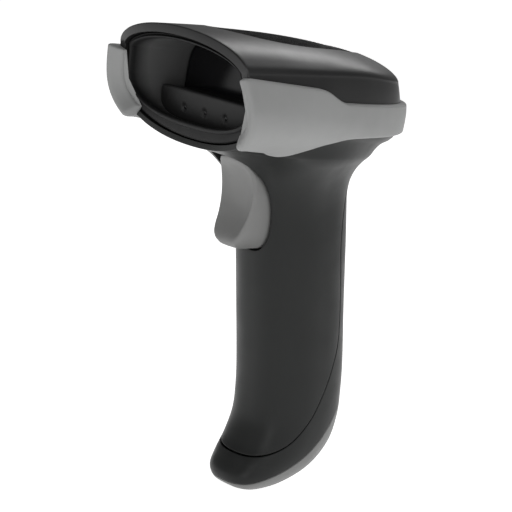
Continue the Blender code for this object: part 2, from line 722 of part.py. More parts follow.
def add_engine():
    box("scan_engine", (-11.0, -14.0, 152.8), (11.0, -1.0, 164.8), PARTS, CASTING)
    rod("engine_lens", 4.2, (0, -17.2, 158.8), (0, -14.3, 158.8), PARTS, SMOKED)
    bracket = box("engine_bracket", (-13.2, -14.0, 150.9), (13.2, 1.0, 160.0), PARTS, STEEL)
    boolean(bracket, box("bracket_space", (-11.6, -30.0, 152.3), (11.6, 30.0, 170.0), CUTTERS))
    box("illumination_board", (-19.0, -17.6, 139.5), (19.0, -16.2, 149.8), PARTS, BOARD_GREEN)
    for side, word in ((-1, "left"), (0, "middle"), (1, "right")):
        x = side * LENS_SPACING
        rod(f"led_{word}", 1.4, (x, -19.6, LENS_Z), (x, -17.9, LENS_Z), PARTS, LED_WHITE, sides=16)


def add_main_board():
    z = BOARD_Z
    board = box("main_board", (-20.0, -12.0, z), (20.0, 30.0, z + 1.6), PARTS, BOARD_GREEN)
    top = z + 1.6 + GAP
    box("decoder_chip", (2.0, 4.0, top), (14.0, 16.0, top + 1.4), PARTS, CHIP_BLACK)
    rod("sounder", 5.5, (-8.0, 12.0, top), (-8.0, 12.0, top + 5.0), PARTS, CHIP_BLACK)
    box("status_led", (-1.6, 20.0, top), (1.6, 22.4, top + 1.2), PARTS, LED_WHITE)
    for side, word in ((-1, "left"), (1, "right")):
        x, y = side * 16.5, 25.0
        hole = rod(f"board_hole_{word}", 1.3, (x, y, z - 5), (x, y, z + 9), CUTTERS, sides=16)
        boolean(board, hole)
        screw(f"board_screw_{word}", (x, y, top), (0, 0, 1), 4.0, 1.0, 2.0)


def screw(name, seat, out, length, shank, head):
    """A machine screw: a pan head that rests at seat, and a shank that points away from out."""
    seat, out = Vector(seat), Vector(out).normalized()
    thick = head * 0.75
    profile = [(0, thick), (head * 0.8, thick), (head, thick * 0.55), (head, 0)]
    profile += [(shank, 0), (shank, -length), (0, -length)]
    mesh = bpy.data.meshes.new(name)
    points = [(x * MM, 0, z * MM) for x, z in profile]
    mesh.from_pydata(points, [(i, i + 1) for i in range(len(points) - 1)], [])
    obj = new_object(name, mesh, PARTS, STEEL)
    turned = obj.modifiers.new("Turned", "SCREW")
    turned.steps = turned.render_steps = 16
    turned.use_merge_vertices = True
    turned.merge_threshold = 1e-6
    obj.rotation_mode = "QUATERNION"
    obj.rotation_quaternion = out.to_track_quat("Z", "Y")
    obj.location = place(*seat)
    return obj


# ---- The trigger and its switch


def at_pivot(obj):
    """Moves an object's origin to the trigger's hinge, keeping its shape in place."""
    pivot = place(0, *PIVOT)
    shift = Matrix.Translation(-pivot)
    obj.data.transform(shift @ obj.matrix_basis)
    obj.matrix_basis = Matrix.Translation(pivot)


def add_trigger():
    outline = TRIGGER_FACE + TRIGGER_BACK
    paddle = side_prism("trigger", outline, TRIGGER_HALF_WIDTH, PARTS, LIGHT_GREY)
    boolean(paddle, front_prism("tongue", tongue_outline(), -40.0, 30.0, CUTTERS), "INTERSECT")
    y, z = PIVOT
    lever = [(-11.8, 122.0), (-2.0, 112.0), (0.4, 114.0), (-1.5, 121.0)]
    turns = np.radians(np.linspace(-30, 170, 12))
    lever += [(y + 3.3 * math.cos(turn), z + 3.3 * math.sin(turn)) for turn in turns]
    boolean(paddle, side_prism("trigger_lever", lever, 5.6, CUTTERS), "UNION")
    boolean(paddle, rod("pin_bore", TRIGGER_BORE, (-20, y, z), (20, y, z), CUTTERS))
    at_pivot(paddle)
    rod("trigger_pin", PIN_RADIUS, (-8.6, y, z), (8.6, y, z), PARTS, STEEL)


def add_trigger_frame():
    """A channel that holds the pin at its front and the switch board at its back."""
    y, z = PIVOT
    back = [
        (-10.3, 127.2),
        (-5.6, 124.6),
        (-1.2, 121.2),
        (3.2, 116.6),
        (12.6, 100.0),
        (12.6, 132.4),
        (-10.3, 132.4),
    ]
    frame = side_prism("trigger_frame", back, 7.6, PARTS, STEEL)
    boolean(frame, box("frame_channel", (-6.2, -30.0, 90.0), (6.2, 11.2, 140.0), CUTTERS))
    boolean(frame, rod("frame_bore", TRIGGER_BORE, (-20, y, z), (20, y, z), CUTTERS))


def add_switch():
    z = SWITCH_Z
    box("switch_board", (-5.6, 9.0, 97.5), (5.6, 10.4, 117.0), PARTS, BOARD_GREEN)
    body = box("trigger_switch", (-3.3, 4.6, z - 3.3), (3.3, 8.7, z + 3.3), PARTS, CHIP_BLACK)
    boolean(body, rod("plunger_bore", 1.75, (0, 0, z), (0, 8.3, z), CUTTERS))
    rod("switch_plunger", 1.4, (0, 0.95, z), (0, 5.5, z), PARTS, LIGHT_GREY, sides=16)


def add_trigger_spring():
    turns, steps, radius = 5, 10, 2.2
    start, end = 1.3, 8.3
    points = []
    for i in range(turns * steps + 1):
        angle = 2 * math.pi * i / steps
        y = start + (end - start) * i / (turns * steps)
        points.append(place(radius * math.cos(angle), y, SPRING_Z + radius * math.sin(angle)))
    wire = bpy.data.curves.new("trigger_spring", "CURVE")
    wire.dimensions = "3D"
    wire.bevel_depth = 0.28 * MM
    wire.bevel_resolution = 2
    wire.use_fill_caps = True
    spline = wire.splines.new("POLY")
    spline.points.add(len(points) - 1)
    for knot, point in zip(spline.points, points):
        knot.co = (*point, 1)
    new_object("trigger_spring", wire, PARTS, STEEL)


# ---- The handle's contents


def cell_axis():
    middle = Vector((0, *CELL_MIDDLE))
    up = Vector((0, -math.sin(CELL_TILT), math.cos(CELL_TILT)))
    return middle, up


def add_battery():
    middle, up = cell_axis()
    half = up * CELL_LENGTH / 2
    low, high = middle - half, middle + half
    rod("battery_cell", CELL_RADIUS, low, high, PARTS, CELL_BLUE, sides=28)
    cradle = rod("battery_cradle", CELL_RADIUS + 1.9, low - up, high + up, PARTS, MATT_BLACK)
    boolean(cradle, rod("cell_space", CELL_RADIUS + 0.5, low - up * 0.4, high + up * 9, CUTTERS))
    front = Vector((0, -up.z, up.y))
    corners = [
        middle + up * 60 - front * 2.0, middle - up * 60 - front * 2.0,
        middle - up * 60 + front * 30, middle + up * 60 + front * 30,
    ]
    boolean(cradle, side_prism("cradle_front", [(c.y, c.z) for c in corners], 30.0, CUTTERS))


def add_contacts():
    out, along = seat_frame()
    seat = Vector((0, *SEAT_POINT))
    low, high = seat - out * 6.4, seat - out * 7.6
    board = [high - along * 6, high + along * 9, low + along * 9, low - along * 6]
    side_prism("contact_board", [(c.y, c.z) for c in board], 9.0, PARTS, BOARD_GREEN)
    for side, word in ((-1, "left"), (1, "right")):
        centre = seat + along * CONTACT_OFFSET + Vector((side * CONTACT_SPACING / 2, 0, 0))
        rod(f"contact_{word}", 1.5, centre - out * 6.0, centre - out * 0.2, PARTS, GOLD, sides=20)


def back_of_handle(z):
    """Y of the handle's back at a height."""
    knots = [(HANDLE_BACK_Y, HANDLE_TOP_Z), *(back for _, back, _ in BOOT)]
    rows = sorted((height, y) for y, height in knots)
    if z > HANDLE_TOP_Z:
        return HANDLE_BACK_Y - HANDLE_RAKE * (z - HANDLE_TOP_Z)
    return float(np.interp(z, [row[0] for row in rows], [row[1] for row in rows]))


def add_handle_screws():
    for number, z in enumerate(HANDLE_SCREWS, 1):
        screw(f"handle_screw_{number}", (0, back_of_handle(z) - 0.7, z), (0, 1, 0), 5.0, 1.3, 2.6)


# EXACT leaves open edges where it cuts these lofted walls, so they use MANIFOLD.
CURVED_SHELLS = {"front_shell", "rear_shell", "base_cap", "chin_ledge", "trigger"}

clear_scene()
PARTS = new_collection("barcode_scanner")
CUTTERS = new_collection("cutters")
CUTTERS.hide_render = True
GLOSS_BLACK = new_material("gloss_black", (0.02, 0.02, 0.021), 0.22)
SATIN_BLACK = new_material("satin_black", (0.03, 0.031, 0.031), 0.42)
MATT_BLACK = new_material("matt_black", (0.012, 0.012, 0.012), 0.6)
LIGHT_GREY = new_material("light_grey", (0.2, 0.2, 0.2), 0.45)
RUBBER_GREY = new_material("rubber_grey", (0.23, 0.23, 0.225), 0.6)
DARK_RUBBER = new_material("dark_rubber", (0.02, 0.02, 0.02), 0.8)
SMOKED = new_material("smoked", (0.01, 0.01, 0.012), 0.08)
CASTING = new_material("casting", (0.35, 0.35, 0.36), 0.45, 0.8)
STEEL = new_material("steel", (0.5, 0.5, 0.5), 0.35, 1.0)
GOLD = new_material("gold", (0.85, 0.62, 0.25), 0.3, 1.0)
BOARD_GREEN = new_material("board_green", (0.02, 0.12, 0.05), 0.4)
CHIP_BLACK = new_material("chip_black", (0.015, 0.015, 0.015), 0.5)
LED_WHITE = new_material("led_white", (0.8, 0.8, 0.75), 0.3)
CELL_BLUE = new_material("cell_blue", (0.05, 0.12, 0.35), 0.4)

add_top_cover()
add_top_grille()
add_front_shell()
add_rear_shell()
add_base_cap()
add_bumper()
add_nose_bezel()
add_chin_ledge()
add_window()
add_engine()
add_main_board()
add_trigger()
add_trigger_frame()
add_switch()
add_trigger_spring()
add_battery()
add_contacts()
add_handle_screws()
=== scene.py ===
"""Handheld cordless barcode scanner: the visual model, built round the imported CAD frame.

The design is drawn in millimetres, and place() turns it into the frame's metres.
The head lies along Y with its nose at -Y, and the handle hangs below it.
"""

import math

import bmesh
import bpy
import numpy as np
from mathutils import Matrix, Vector
from mathutils.bvhtree import BVHTree


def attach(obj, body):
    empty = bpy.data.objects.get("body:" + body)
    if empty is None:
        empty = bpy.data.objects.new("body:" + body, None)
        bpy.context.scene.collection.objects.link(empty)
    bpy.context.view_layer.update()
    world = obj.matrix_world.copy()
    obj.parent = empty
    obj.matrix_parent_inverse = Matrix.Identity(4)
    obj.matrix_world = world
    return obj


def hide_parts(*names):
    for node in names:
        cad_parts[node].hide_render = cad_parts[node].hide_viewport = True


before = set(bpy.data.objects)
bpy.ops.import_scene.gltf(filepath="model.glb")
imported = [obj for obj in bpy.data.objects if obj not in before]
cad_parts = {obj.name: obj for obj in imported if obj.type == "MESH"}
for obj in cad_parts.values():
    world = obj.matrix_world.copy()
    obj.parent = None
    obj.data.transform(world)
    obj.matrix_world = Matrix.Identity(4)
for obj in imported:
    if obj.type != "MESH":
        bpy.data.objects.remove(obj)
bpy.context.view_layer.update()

MM = 0.001
GAP = 0.3  # clearance between pieces that touch
WALL = 2.0  # thickness of the moulded shells
MID_SHIFT = 0.88  # moves the design along Y, so that Y = 0 is the middle of the object's length
LOWEST_Z = 0.9  # height of the boot's lowest point in the design, which becomes Z = 0


# Head, seen from above: a blunt superellipse that starts at the nose.
HEAD_HALF_WIDTH = 35.5
HEAD_NOSE_Y = -45.6
HEAD_LENGTH = 95.3
PLAN_X_POWER = 2.2
PLAN_Y_POWER = 4.5
PARTING_Z = 149.0  # the top cover sits on the lower shells here, under the bumper
PARTING_GAP = 1.0  # the lower shells stop this far below the cover
NOSE_SLOPE = 0.315  # the upper lip of the nose leans forward by this much per unit of height
LEAN_END_Y = 10.0

# Head, seen from the side.
RIDGE = [(-52.0, 171.7), (-20.0, 172.3), (7.0, 171.4), (20.0, 170.0), (48.0, 166.0)]
CREASE = [(-52.0, 160.8), (-20.0, 162.2), (12.0, 162.7), (30.0, 161.3), (49.0, 159.0)]
CREASE_INSET = [(-52.0, 3.3), (-20.0, 1.7), (10.0, 1.6), (49.0, 2.8)]
ROOF_POLE_Y = 20.0  # the roof's rear part fans out from this point of the ridge
ROOF_POWER = [(-46.0, 2.05), (0.0, 2.05), (30.0, 1.8), (50.0, 1.65)]
BELLY_DEPTH = [(-46.0, 17.7), (0.0, 15.5), (49.0, 15.9)]
BELLY_POWER = [(-46.0, 2.3), (-10.0, 2.3), (25.0, 3.7), (50.0, 5.4)]

# Handle: a raked superellipse column that blends into the head, and a boot below it.
HANDLE_TOP_Z = 100.0
HANDLE_FRONT_Y = -3.8
HANDLE_BACK_Y = 38.4
HANDLE_RAKE = 0.22
HANDLE_HALF_WIDTH = 18.0
HANDLE_POWER = 2.4
NECK_BLEND = [(-50.0, 28.0), (5.0, 28.0), (22.0, 20.0), (60.0, 16.0)]
NECK_BLEND_FADE = 16.0  # the blend dies away over this height below the parting line
NECK_MIDDLE = np.array([0, 12.0, 126.0])  # the neck's rows bend towards this point
NECK_BEND = 0.3
NECK_RISE = 24.0  # the neck's rows meet the handle along its own direction, from this far up
CORNER_TURN = math.radians(-52)  # where the handle's section passes from its side to its front
# Each row of the boot: front point (y, z), back point (y, z), half width.
BOOT = [
    ((3.0, 70.0), (43.8, 73.0), 17.9),
    ((7.4, 50.0), (48.2, 53.0), 17.8),
    ((9.4, 38.0), (50.2, 41.0), 17.6),
    ((9.8, 28.0), (51.0, 30.0), 17.4),
    ((7.2, 19.4), (48.6, 19.6), 17.0),
    ((3.4, 12.8), (40.6, 10.4), 15.8),
    ((1.0, 7.8), (27.8, 4.2), 13.2),
    ((2.4, 3.8), (16.2, 1.5), 9.0),
    ((6.2, 1.8), (10.0, 0.9), 3.8),
]


# Lines of the side view (y, z) that split the lower body into its shells.
SHELL_SEAM = [
    (42.0, 153.0), (36.5, 141.0), (29.5, 127.0), (26.4, 113.0), (26.8, 101.0), (30.4, 86.0),
    (33.8, 70.6), (34.9, 60.0), (33.4, 51.0), (30.4, 40.0), (26.5, 31.0), (18.5, 21.5),
    (10.5, 17.0), (3.0, 15.0), (-9.0, 14.4),
]
SOLE_EDGE = [
    (62.0, 54.0), (50.5, 44.0), (44.2, 35.5), (38.1, 26.7), (30.1, 18.0), (20.9, 12.0),
    (11.9, 7.9), (5.5, 5.4), (-9.0, 3.4),
]
SEAT_POINT = (41.0, 12.9)  # middle of the flat on the sole, in the side view
SEAT_NORMAL = (0.7330, -0.6802)

CONTACT_SPACING = 7.0
CONTACT_OFFSET = 4.0  # the contacts sit this far towards the heel from the middle of the flat
HANDLE_SCREWS = [108.0, 62.0]  # heights of the screws in the handle's back

# Grille in the roof: half of its leaf-shaped outline, (y, half width) from its front tip to its back tip.
LEAF_EDGE = [
    (-35.5, 0.0), (-34.2, 5.0), (-31.5, 10.2), (-27.0, 14.8), (-19.0, 18.2), (-9.0, 19.4), (3.0, 18.0),
    (15.0, 14.2), (26.0, 9.0), (34.5, 4.4), (41.5, 0.0),
]
GRILLE_SINK = 0.4
GRILLE_THICKNESS = 1.4

# Bumper: a rubber band round the head that hooks over the nose rim.
BUMPER_TOP = [
    (-50.0, 160.4), (-34.0, 159.6), (-20.0, 158.8), (-16.0, 158.5), (-13.6, 158.0), (-6.6, 154.9),
    (-4.6, 154.35), (0.0, 154.2), (20.0, 153.9), (50.0, 153.5),
]
BUMPER_BOTTOM = [
    (-50.0, 137.0), (-36.0, 136.1), (-22.4, 135.4), (-16.0, 135.9), (-10.0, 137.9), (-4.0, 140.5),
    (0.0, 141.7), (4.0, 142.2), (9.0, 142.4), (25.0, 142.6), (50.0, 142.8),
]

# Nose: the funnel-shaped bezel, and what it frames.
FUNNEL_BACK_Y = -23.0
FUNNEL_MIDDLE_Z = 151.5
FUNNEL_HALF = (26.0, 16.2)
FUNNEL_POWER = 3.6
LEDGE_TOP_Z = 149.4
LEDGE_FRONT_Y = -35.8
LENS_SPACING = 10.5
LENS_Z = 142.9

# Half of the trigger's outline seen from the front: (x, z) from its bottom to its top.
TRIGGER_OUTLINE = [
    (0.0, 94.0), (2.8, 94.5), (5.2, 96.4), (7.2, 100.4), (8.3, 107.0), (9.0, 113.5),
    (9.2, 119.0), (8.9, 123.0), (7.3, 126.2), (4.4, 127.7), (0.0, 128.1),
]
TRIGGER_FACE = [
    (-22.0, 128.4), (-19.9, 126.9), (-17.9, 125.2), (-15.9, 122.6), (-14.5, 119.0), (-13.7, 115.0),
    (-13.6, 111.0), (-14.4, 106.0), (-15.9, 101.5), (-16.6, 98.8), (-16.0, 96.6), (-13.4, 95.0),
    (-8.0, 94.2),
]
TRIGGER_BACK = [
    (0.4, 94.8), (0.6, 97.0), (0.6, 115.0), (-3.0, 119.5), (-7.0, 123.0), (-11.0, 125.6),
]


def bent(value, power):
    """A cosine or sine made into a superellipse's coordinate."""
    return np.sign(value) * np.abs(value) ** (2 / power)


def smooth_curve(points, at):
    """A curve through the points, by Catmull-Rom, read at one or many places."""
    points = np.asarray(points, float)
    x, y = points[:, 0], points[:, 1:]
    slope = np.gradient(y, x, axis=0)
    at = np.atleast_1d(np.asarray(at, float)).clip(x[0], x[-1])
    low = np.clip(np.searchsorted(x, at) - 1, 0, len(x) - 2)
    width = (x[low + 1] - x[low])[:, None]
    s = (at[:, None] - x[low][:, None]) / width
    found = (
        (1 + 2 * s) * (1 - s) ** 2 * y[low]
        + s * (1 - s) ** 2 * width * slope[low]
        + s * s * (3 - 2 * s) * y[low + 1]
        + s * s * (s - 1) * width * slope[low + 1]
    )
    return found


def level(points, at):
    return smooth_curve(points, at)[:, 0]


def lengths_along(path):
    steps = np.linalg.norm(np.diff(path, axis=0), axis=1)
    return np.concatenate([[0], np.cumsum(steps)])


def spread(points, count):
    """The same open path, with count points at even distances."""
    points = np.asarray(points, float)
    along = lengths_along(points)
    at = np.linspace(0, along[-1], count)
    return np.stack([np.interp(at, along, column) for column in points.T], axis=1)


def lean(y, z):
    """Y of a head point, sheared so that the nose plane leans forward at its top."""
    fade = np.clip((LEAN_END_Y - y) / (LEAN_END_Y - HEAD_NOSE_Y), 0, 1)
    return y - NOSE_SLOPE * (z - PARTING_Z) * fade


def unlean(y, z):
    """The inverse of lean."""
    reach = LEAN_END_Y - HEAD_NOSE_Y
    shift = NOSE_SLOPE * (z - PARTING_Z) / reach
    plain = (y + shift * LEAN_END_Y) / (1 + shift)
    return np.where(plain < LEAN_END_Y, plain, y)


def head_outline(count):
    """Plan outline of the head at the parting line, from the +X nose corner round the back to the other."""
    turn = np.linspace(0, math.pi / 2, 800) ** 3 / (math.pi / 2) ** 2
    x = HEAD_HALF_WIDTH * np.cos(turn).clip(0) ** (2 / PLAN_X_POWER)
    y = HEAD_NOSE_Y + HEAD_LENGTH * np.sin(turn) ** (2 / PLAN_Y_POWER)
    half = np.stack([x, y], axis=1)
    whole = np.concatenate([half, (half * [-1, 1])[-2::-1]])
    return spread(whole, count)


def outline_inward(outline):
    """Unit vectors that point into the head from each outline point."""
    along = np.gradient(outline, axis=0)
    inward = np.stack([-along[:, 1], along[:, 0]], axis=1)
    return inward / np.linalg.norm(inward, axis=1)[:, None]


def nose_lower_rim(count):
    """The nose's lower edge, from the -X corner under the nose to the +X corner, corners left out."""
    turn = np.linspace(math.pi, 0, 400)
    x = HEAD_HALF_WIDTH * bent(np.cos(turn), PLAN_X_POWER)
    depth = level(BELLY_DEPTH, HEAD_NOSE_Y)
    z = PARTING_Z - depth * np.sin(turn).clip(0) ** (2 / level(BELLY_POWER, HEAD_NOSE_Y))
    y = lean(np.full_like(z, HEAD_NOSE_Y), z)
    return spread(np.stack([x, y, z], axis=1), count + 2)[1:-1]


def head_distance(points):
    """Roughly how far points are outside the lower half of the head."""
    x, y, z = points.T
    plain = unlean(y, z)
    depth = level(BELLY_DEPTH, plain)
    plan = np.abs(x / HEAD_HALF_WIDTH) ** PLAN_X_POWER
    plan = plan + (np.maximum(plain - HEAD_NOSE_Y, 0) / HEAD_LENGTH) ** PLAN_Y_POWER
    down = np.maximum(PARTING_Z - z, 0) / depth
    power = level(BELLY_POWER, plain)
    return ((plan + down**power) ** (1 / power) - 1) * depth


def handle_distance(points):
    """Roughly how far points are outside the raked column of the handle."""
    x, y, z = points.T
    middle = (HANDLE_FRONT_Y + HANDLE_BACK_Y) / 2 - HANDLE_RAKE * (z - HANDLE_TOP_Z)
    half_depth = (HANDLE_BACK_Y - HANDLE_FRONT_Y) / 2
    power = HANDLE_POWER
    size = np.abs(x / HANDLE_HALF_WIDTH) ** power + np.abs((y - middle) / half_depth) ** power
    return (size ** (1 / power) - 1) * HANDLE_HALF_WIDTH


def blended_distance(points):
    head, handle = head_distance(points), handle_distance(points)
    fade = ((PARTING_Z - points[:, 2]) / NECK_BLEND_FADE).clip(0, 1)
    reach = level(NECK_BLEND, points[:, 1]) * fade + GAP
    near = np.maximum(reach - np.abs(head - handle), 0) / reach
    return np.minimum(head, handle) - near**2 * reach / 4


def settle(points, rounds=10):
    """Moves points onto the surface where the head and the handle blend."""
    step = 0.05
    for _ in range(rounds):
        here = blended_distance(points)
        ahead = [blended_distance(points + step * axis) for axis in np.eye(3)]
        behind = [blended_distance(points - step * axis) for axis in np.eye(3)]
        slope = (np.stack(ahead, axis=1) - np.stack(behind, axis=1)) / (2 * step)
        size = np.maximum((slope**2).sum(axis=1), 0.05)
        points = points - (here / size)[:, None] * slope
    return points


def handle_ring(front, back, half_width, turns):
    """One closed section of the handle, between a front and a back point of its side view."""
    front, back = np.asarray(front, float), np.asarray(back, float)
    across, along = bent(np.cos(turns), HANDLE_POWER), bent(np.sin(turns), HANDLE_POWER)
    side = (front + back) / 2 + along[:, None] * (back - front) / 2
    return np.stack([half_width * across, side[:, 0], side[:, 1]], axis=1)


def lower_body_rows():
    """Rows of points from the parting line, down the neck and the handle, to the tip of the boot."""
    rim = np.column_stack([head_outline(BODY_COLUMNS), np.full(BODY_COLUMNS, PARTING_Z)])
    loop = np.concatenate([rim, nose_lower_rim(NOSE_COLUMNS)])
    turns = np.concatenate(
        [
            np.linspace(CORNER_TURN, math.pi - CORNER_TURN, BODY_COLUMNS),
            np.linspace(math.pi - CORNER_TURN, 2 * math.pi + CORNER_TURN, NOSE_COLUMNS + 2)[1:-1],
        ]
    )
    top_front = (HANDLE_FRONT_Y, HANDLE_TOP_Z)
    top_back = (HANDLE_BACK_Y, HANDLE_TOP_Z)
    ring = handle_ring(top_front, top_back, HANDLE_HALF_WIDTH, turns)
    rise = ring + np.array([0, -HANDLE_RAKE, 1]) * NECK_RISE
    bend = loop + NECK_BEND * (NECK_MIDDLE - loop)
    rows = [loop]
    for s in np.linspace(0, 1, NECK_ROWS + 1)[1:-1]:
        guess = (1 - s) ** 3 * loop + 3 * s * (1 - s) ** 2 * bend + 3 * s * s * (1 - s) * rise + s**3 * ring
        rows.append(settle(guess))
    rows.append(ring)
    knots = [(top_front, top_back, HANDLE_HALF_WIDTH)] + BOOT
    table = [[i, *front, *back, width] for i, (front, back, width) in enumerate(knots)]
    for row in smooth_curve(table, np.linspace(0, len(BOOT), BOOT_ROWS + 1)[1:]):
        rows.append(handle_ring(row[0:2], row[2:4], row[4], turns))
    return rows


def cover_columns(columns, side_rows, roof_rows):
    """Columns of points that climb from the parting line over the crease to the ridge."""
    outline = head_outline(columns)
    inward = outline_inward(outline)
    crease_z = level(CREASE, outline[:, 1])
    crease = outline + inward * level(CREASE_INSET, outline[:, 1])[:, None]
    crease[0, 1] = crease[-1, 1] = HEAD_NOSE_Y
    ridge_y = np.minimum(outline[:, 1], ROOF_POLE_Y)
    rows = []
    for part in np.linspace(0, 1, side_rows + 1):
        flat = outline + (crease - outline) * part**1.5
        rows.append(np.column_stack([flat, PARTING_Z + (crease_z - PARTING_Z) * part]))
    ridge = np.column_stack([np.zeros(columns), ridge_y, level(RIDGE, ridge_y)])
    edge = rows[-1]
    power = level(ROOF_POWER, outline[:, 1])
    for turn in np.linspace(0, math.pi / 2, roof_rows + 1)[1:]:
        across = 1 - max(np.cos(turn), 0) ** (2 / power)
        up = np.sin(turn) ** (2 / power)
        flat = edge[:, :2] + (ridge[:, :2] - edge[:, :2]) * across[:, None]
        rows.append(np.column_stack([flat, edge[:, 2] + (ridge[:, 2] - edge[:, 2]) * up]))
    rows = np.array(rows)
    rows[..., 1] = lean(rows[..., 1], rows[..., 2])
    return rows


def head_side(outline, part, low, high):
    """Points of the head's side wall, from height low to height high at each outline point."""
    z = low + (high - low) * part
    depth = level(BELLY_DEPTH, outline[:, 1])
    down = (np.maximum(PARTING_Z - z, 0) / depth).clip(0, 0.98)
    share = 1 - down ** level(BELLY_POWER, outline[:, 1])
    x = outline[:, 0] * share ** (1 / PLAN_X_POWER)
    y = HEAD_NOSE_Y + (outline[:, 1] - HEAD_NOSE_Y) * share ** (1 / PLAN_Y_POWER)
    rise = ((z - PARTING_Z) / (level(CREASE, outline[:, 1]) - PARTING_Z)).clip(0, 1)
    inset = outline_inward(outline) * (level(CREASE_INSET, outline[:, 1]) * rise**1.5)[:, None]
    inset[[0, -1], 1] = 0
    return np.column_stack([x + inset[:, 0], lean(y + inset[:, 1], z), z])


def surface_normals(grid):
    across, up = np.gradient(grid, axis=1), np.gradient(grid, axis=0)
    normal = np.cross(across, up)
    return normal / np.linalg.norm(normal, axis=2)[..., None]


def polar_loop(points, count):
    """A closed loop round (0, FUNNEL_MIDDLE_Z), read at even angles."""
    angle = np.arctan2(points[:, 2] - FUNNEL_MIDDLE_Z, points[:, 0])
    order = np.argsort(angle)
    at = np.linspace(-math.pi, math.pi, count, endpoint=False)
    columns = [np.interp(at, angle[order], points[order, k], period=2 * math.pi) for k in range(3)]
    return np.stack(columns, axis=1)


def nose_rim_loop(count):
    """The nose's whole outer rim."""
    cover = cover_columns(81, 4, 24)
    edge = np.concatenate([cover[:, 0], cover[::-1, -1], nose_lower_rim(80)])
    return polar_loop(edge, count)


def loop_normals(flat):
    """Unit vectors that point out of a closed flat loop from each of its points."""
    along = np.roll(flat, -1, axis=0) - np.roll(flat, 1, axis=0)
    return np.column_stack([along[:, 1], -along[:, 0]]) / np.linalg.norm(along, axis=1)[:, None]


def inset_loop(loop, distance):
    """A closed loop of the nose plane, moved inward by a distance."""
    x, z = -distance * loop_normals(loop[:, [0, 2]]).T
    return loop + np.column_stack([x, -NOSE_SLOPE * z, z])


def funnel_end(count):
    """The bezel's inner edge, where it meets the window."""
    angle = np.linspace(-math.pi, math.pi, count, endpoint=False)
    x = bent(np.cos(angle), FUNNEL_POWER) * FUNNEL_HALF[0]
    z = bent(np.sin(angle), FUNNEL_POWER) * FUNNEL_HALF[1]
    back = np.column_stack([x, np.full(count, FUNNEL_BACK_Y), FUNNEL_MIDDLE_Z + z])
    return polar_loop(back, count)


# ---- Detail that only the visual model has

BODY_COLUMNS = 180
NOSE_COLUMNS = 60
NECK_ROWS = 44
BOOT_ROWS = 100
COVER_COLUMNS = 241
BUMPER_COLUMNS = 221
SEAM_GAP = 0.3
SEAM_ROUND = 0.28
TRIGGER_GAP = 0.65
COVER_WALL = 3.1
LEAF_ROUND = 0.45
GRILLE_STEP = 0.17
GRILLE_PITCH = 1.5
GRILLE_CELL = 3.2
GRILLE_DEEP = 0.9
BUMPER_ROUND = 1.1
BUMPER_PROUD = 2.0
BUMPER_EDGE = 0.25  # height of the band's thin edges over the head
BUMPER_BED = 0.15  # depth of its inner face under the head's surface
# The bumper lip's section at the nose: (outward from the rim, forward of it).
LIP_CURVE = [
    (2.25, 0.0), (2.3, 1.4), (2.3, 2.8), (2.05, 3.9), (1.5, 4.5), (0.8, 4.65), (0.0, 4.35), (-1.2, 3.5),
    (-2.5, 2.4), (-3.3, 1.7), (-3.65, 1.25), (-3.8, 0.7),
]
LEDGE_BACK_Y = FUNNEL_BACK_Y + 0.35
LEDGE_HALF_WIDTH = 28.6
LEDGE_DEPTH = 13.0
LEDGE_POWER = 4.2
LEDGE_FALL = 2.0
LEDGE_EDGE = 0.9
DIMPLE_HALF = (1.45, 1.85)
DIMPLE_DEPTH = 0.7
DIMPLE_BOWL = (0.25, 1.05)  # the bowl falls away between these shares of DIMPLE_HALF
# The groove behind the ledge's top edge: (backward, upward).
LEDGE_GROOVE = [
    (1.6, 0), (2.6, -0.02), (3.1, -0.25), (3.25, -0.8), (3.3, -1.6), (4.3, -1.7), (4.4, -1.0), (4.8, -0.75),
]
LEDGE_BOTTOM_Z = 136.0
LEDGE_TILT = 0.16
LEDGE_TILT_Z = 143.0  # the ledge's front tilts about this height
LENS_DOME = [(0.5, -0.9), (0.5, 0.0), (0.42, 0.12), (0.3, 0.2), (0.12, 0.24)]  # share of DIMPLE_HALF, lift
# The bezel's front edge: (inset at the sides, inset at the bottom, setback).
BEZEL_EDGE = [
    (3.3, 2.3, 3.2), (3.3, 2.3, 1.5), (3.4, 2.6, 1.0), (3.6, 3.6, 0.9), (3.9, 4.8, 1.1),
    (4.1, 5.9, 1.3), (4.15, 6.1, 1.0), (4.25, 6.35, 0.55), (4.45, 6.8, 0.3), (4.7, 7.3, 0.3),
    (4.9, 7.7, 0.6), (5.05, 7.95, 1.1), (5.1, 8.1, 2.0),
]
BEZEL_END = 0.4  # how far the bezel's end reaches past the funnel
BEZEL_WALL = 1.1
TRIGGER_EASE = 0.25  # the paddle is this much smaller than its outline
TRIGGER_SLOT_BACK_Y = 6.0
PADDLE_MIDDLE_Z = 110.0
PADDLE_BOTTOM_Z = 93.2
PADDLE_RIM = 1.5
# The paddle's face, from its rim to its middle: (share of the outline, depth).
PADDLE_FACE = [
    (1.0, PADDLE_RIM), (0.996, 1.15), (0.985, 0.75), (0.965, 0.4), (0.94, 0.15), (0.91, 0.02), (0.88, 0.0),
    (0.85, 0.05), (0.8, 0.18), (0.72, 0.4), (0.62, 0.6), (0.5, 0.76), (0.36, 0.86), (0.2, 0.92),
    (0.06, 0.94),
]
SOLE_WALL = 2.4
SCREW_HOLE_RADIUS = 3.0
CONTACT_HOLE_RADIUS = 1.9
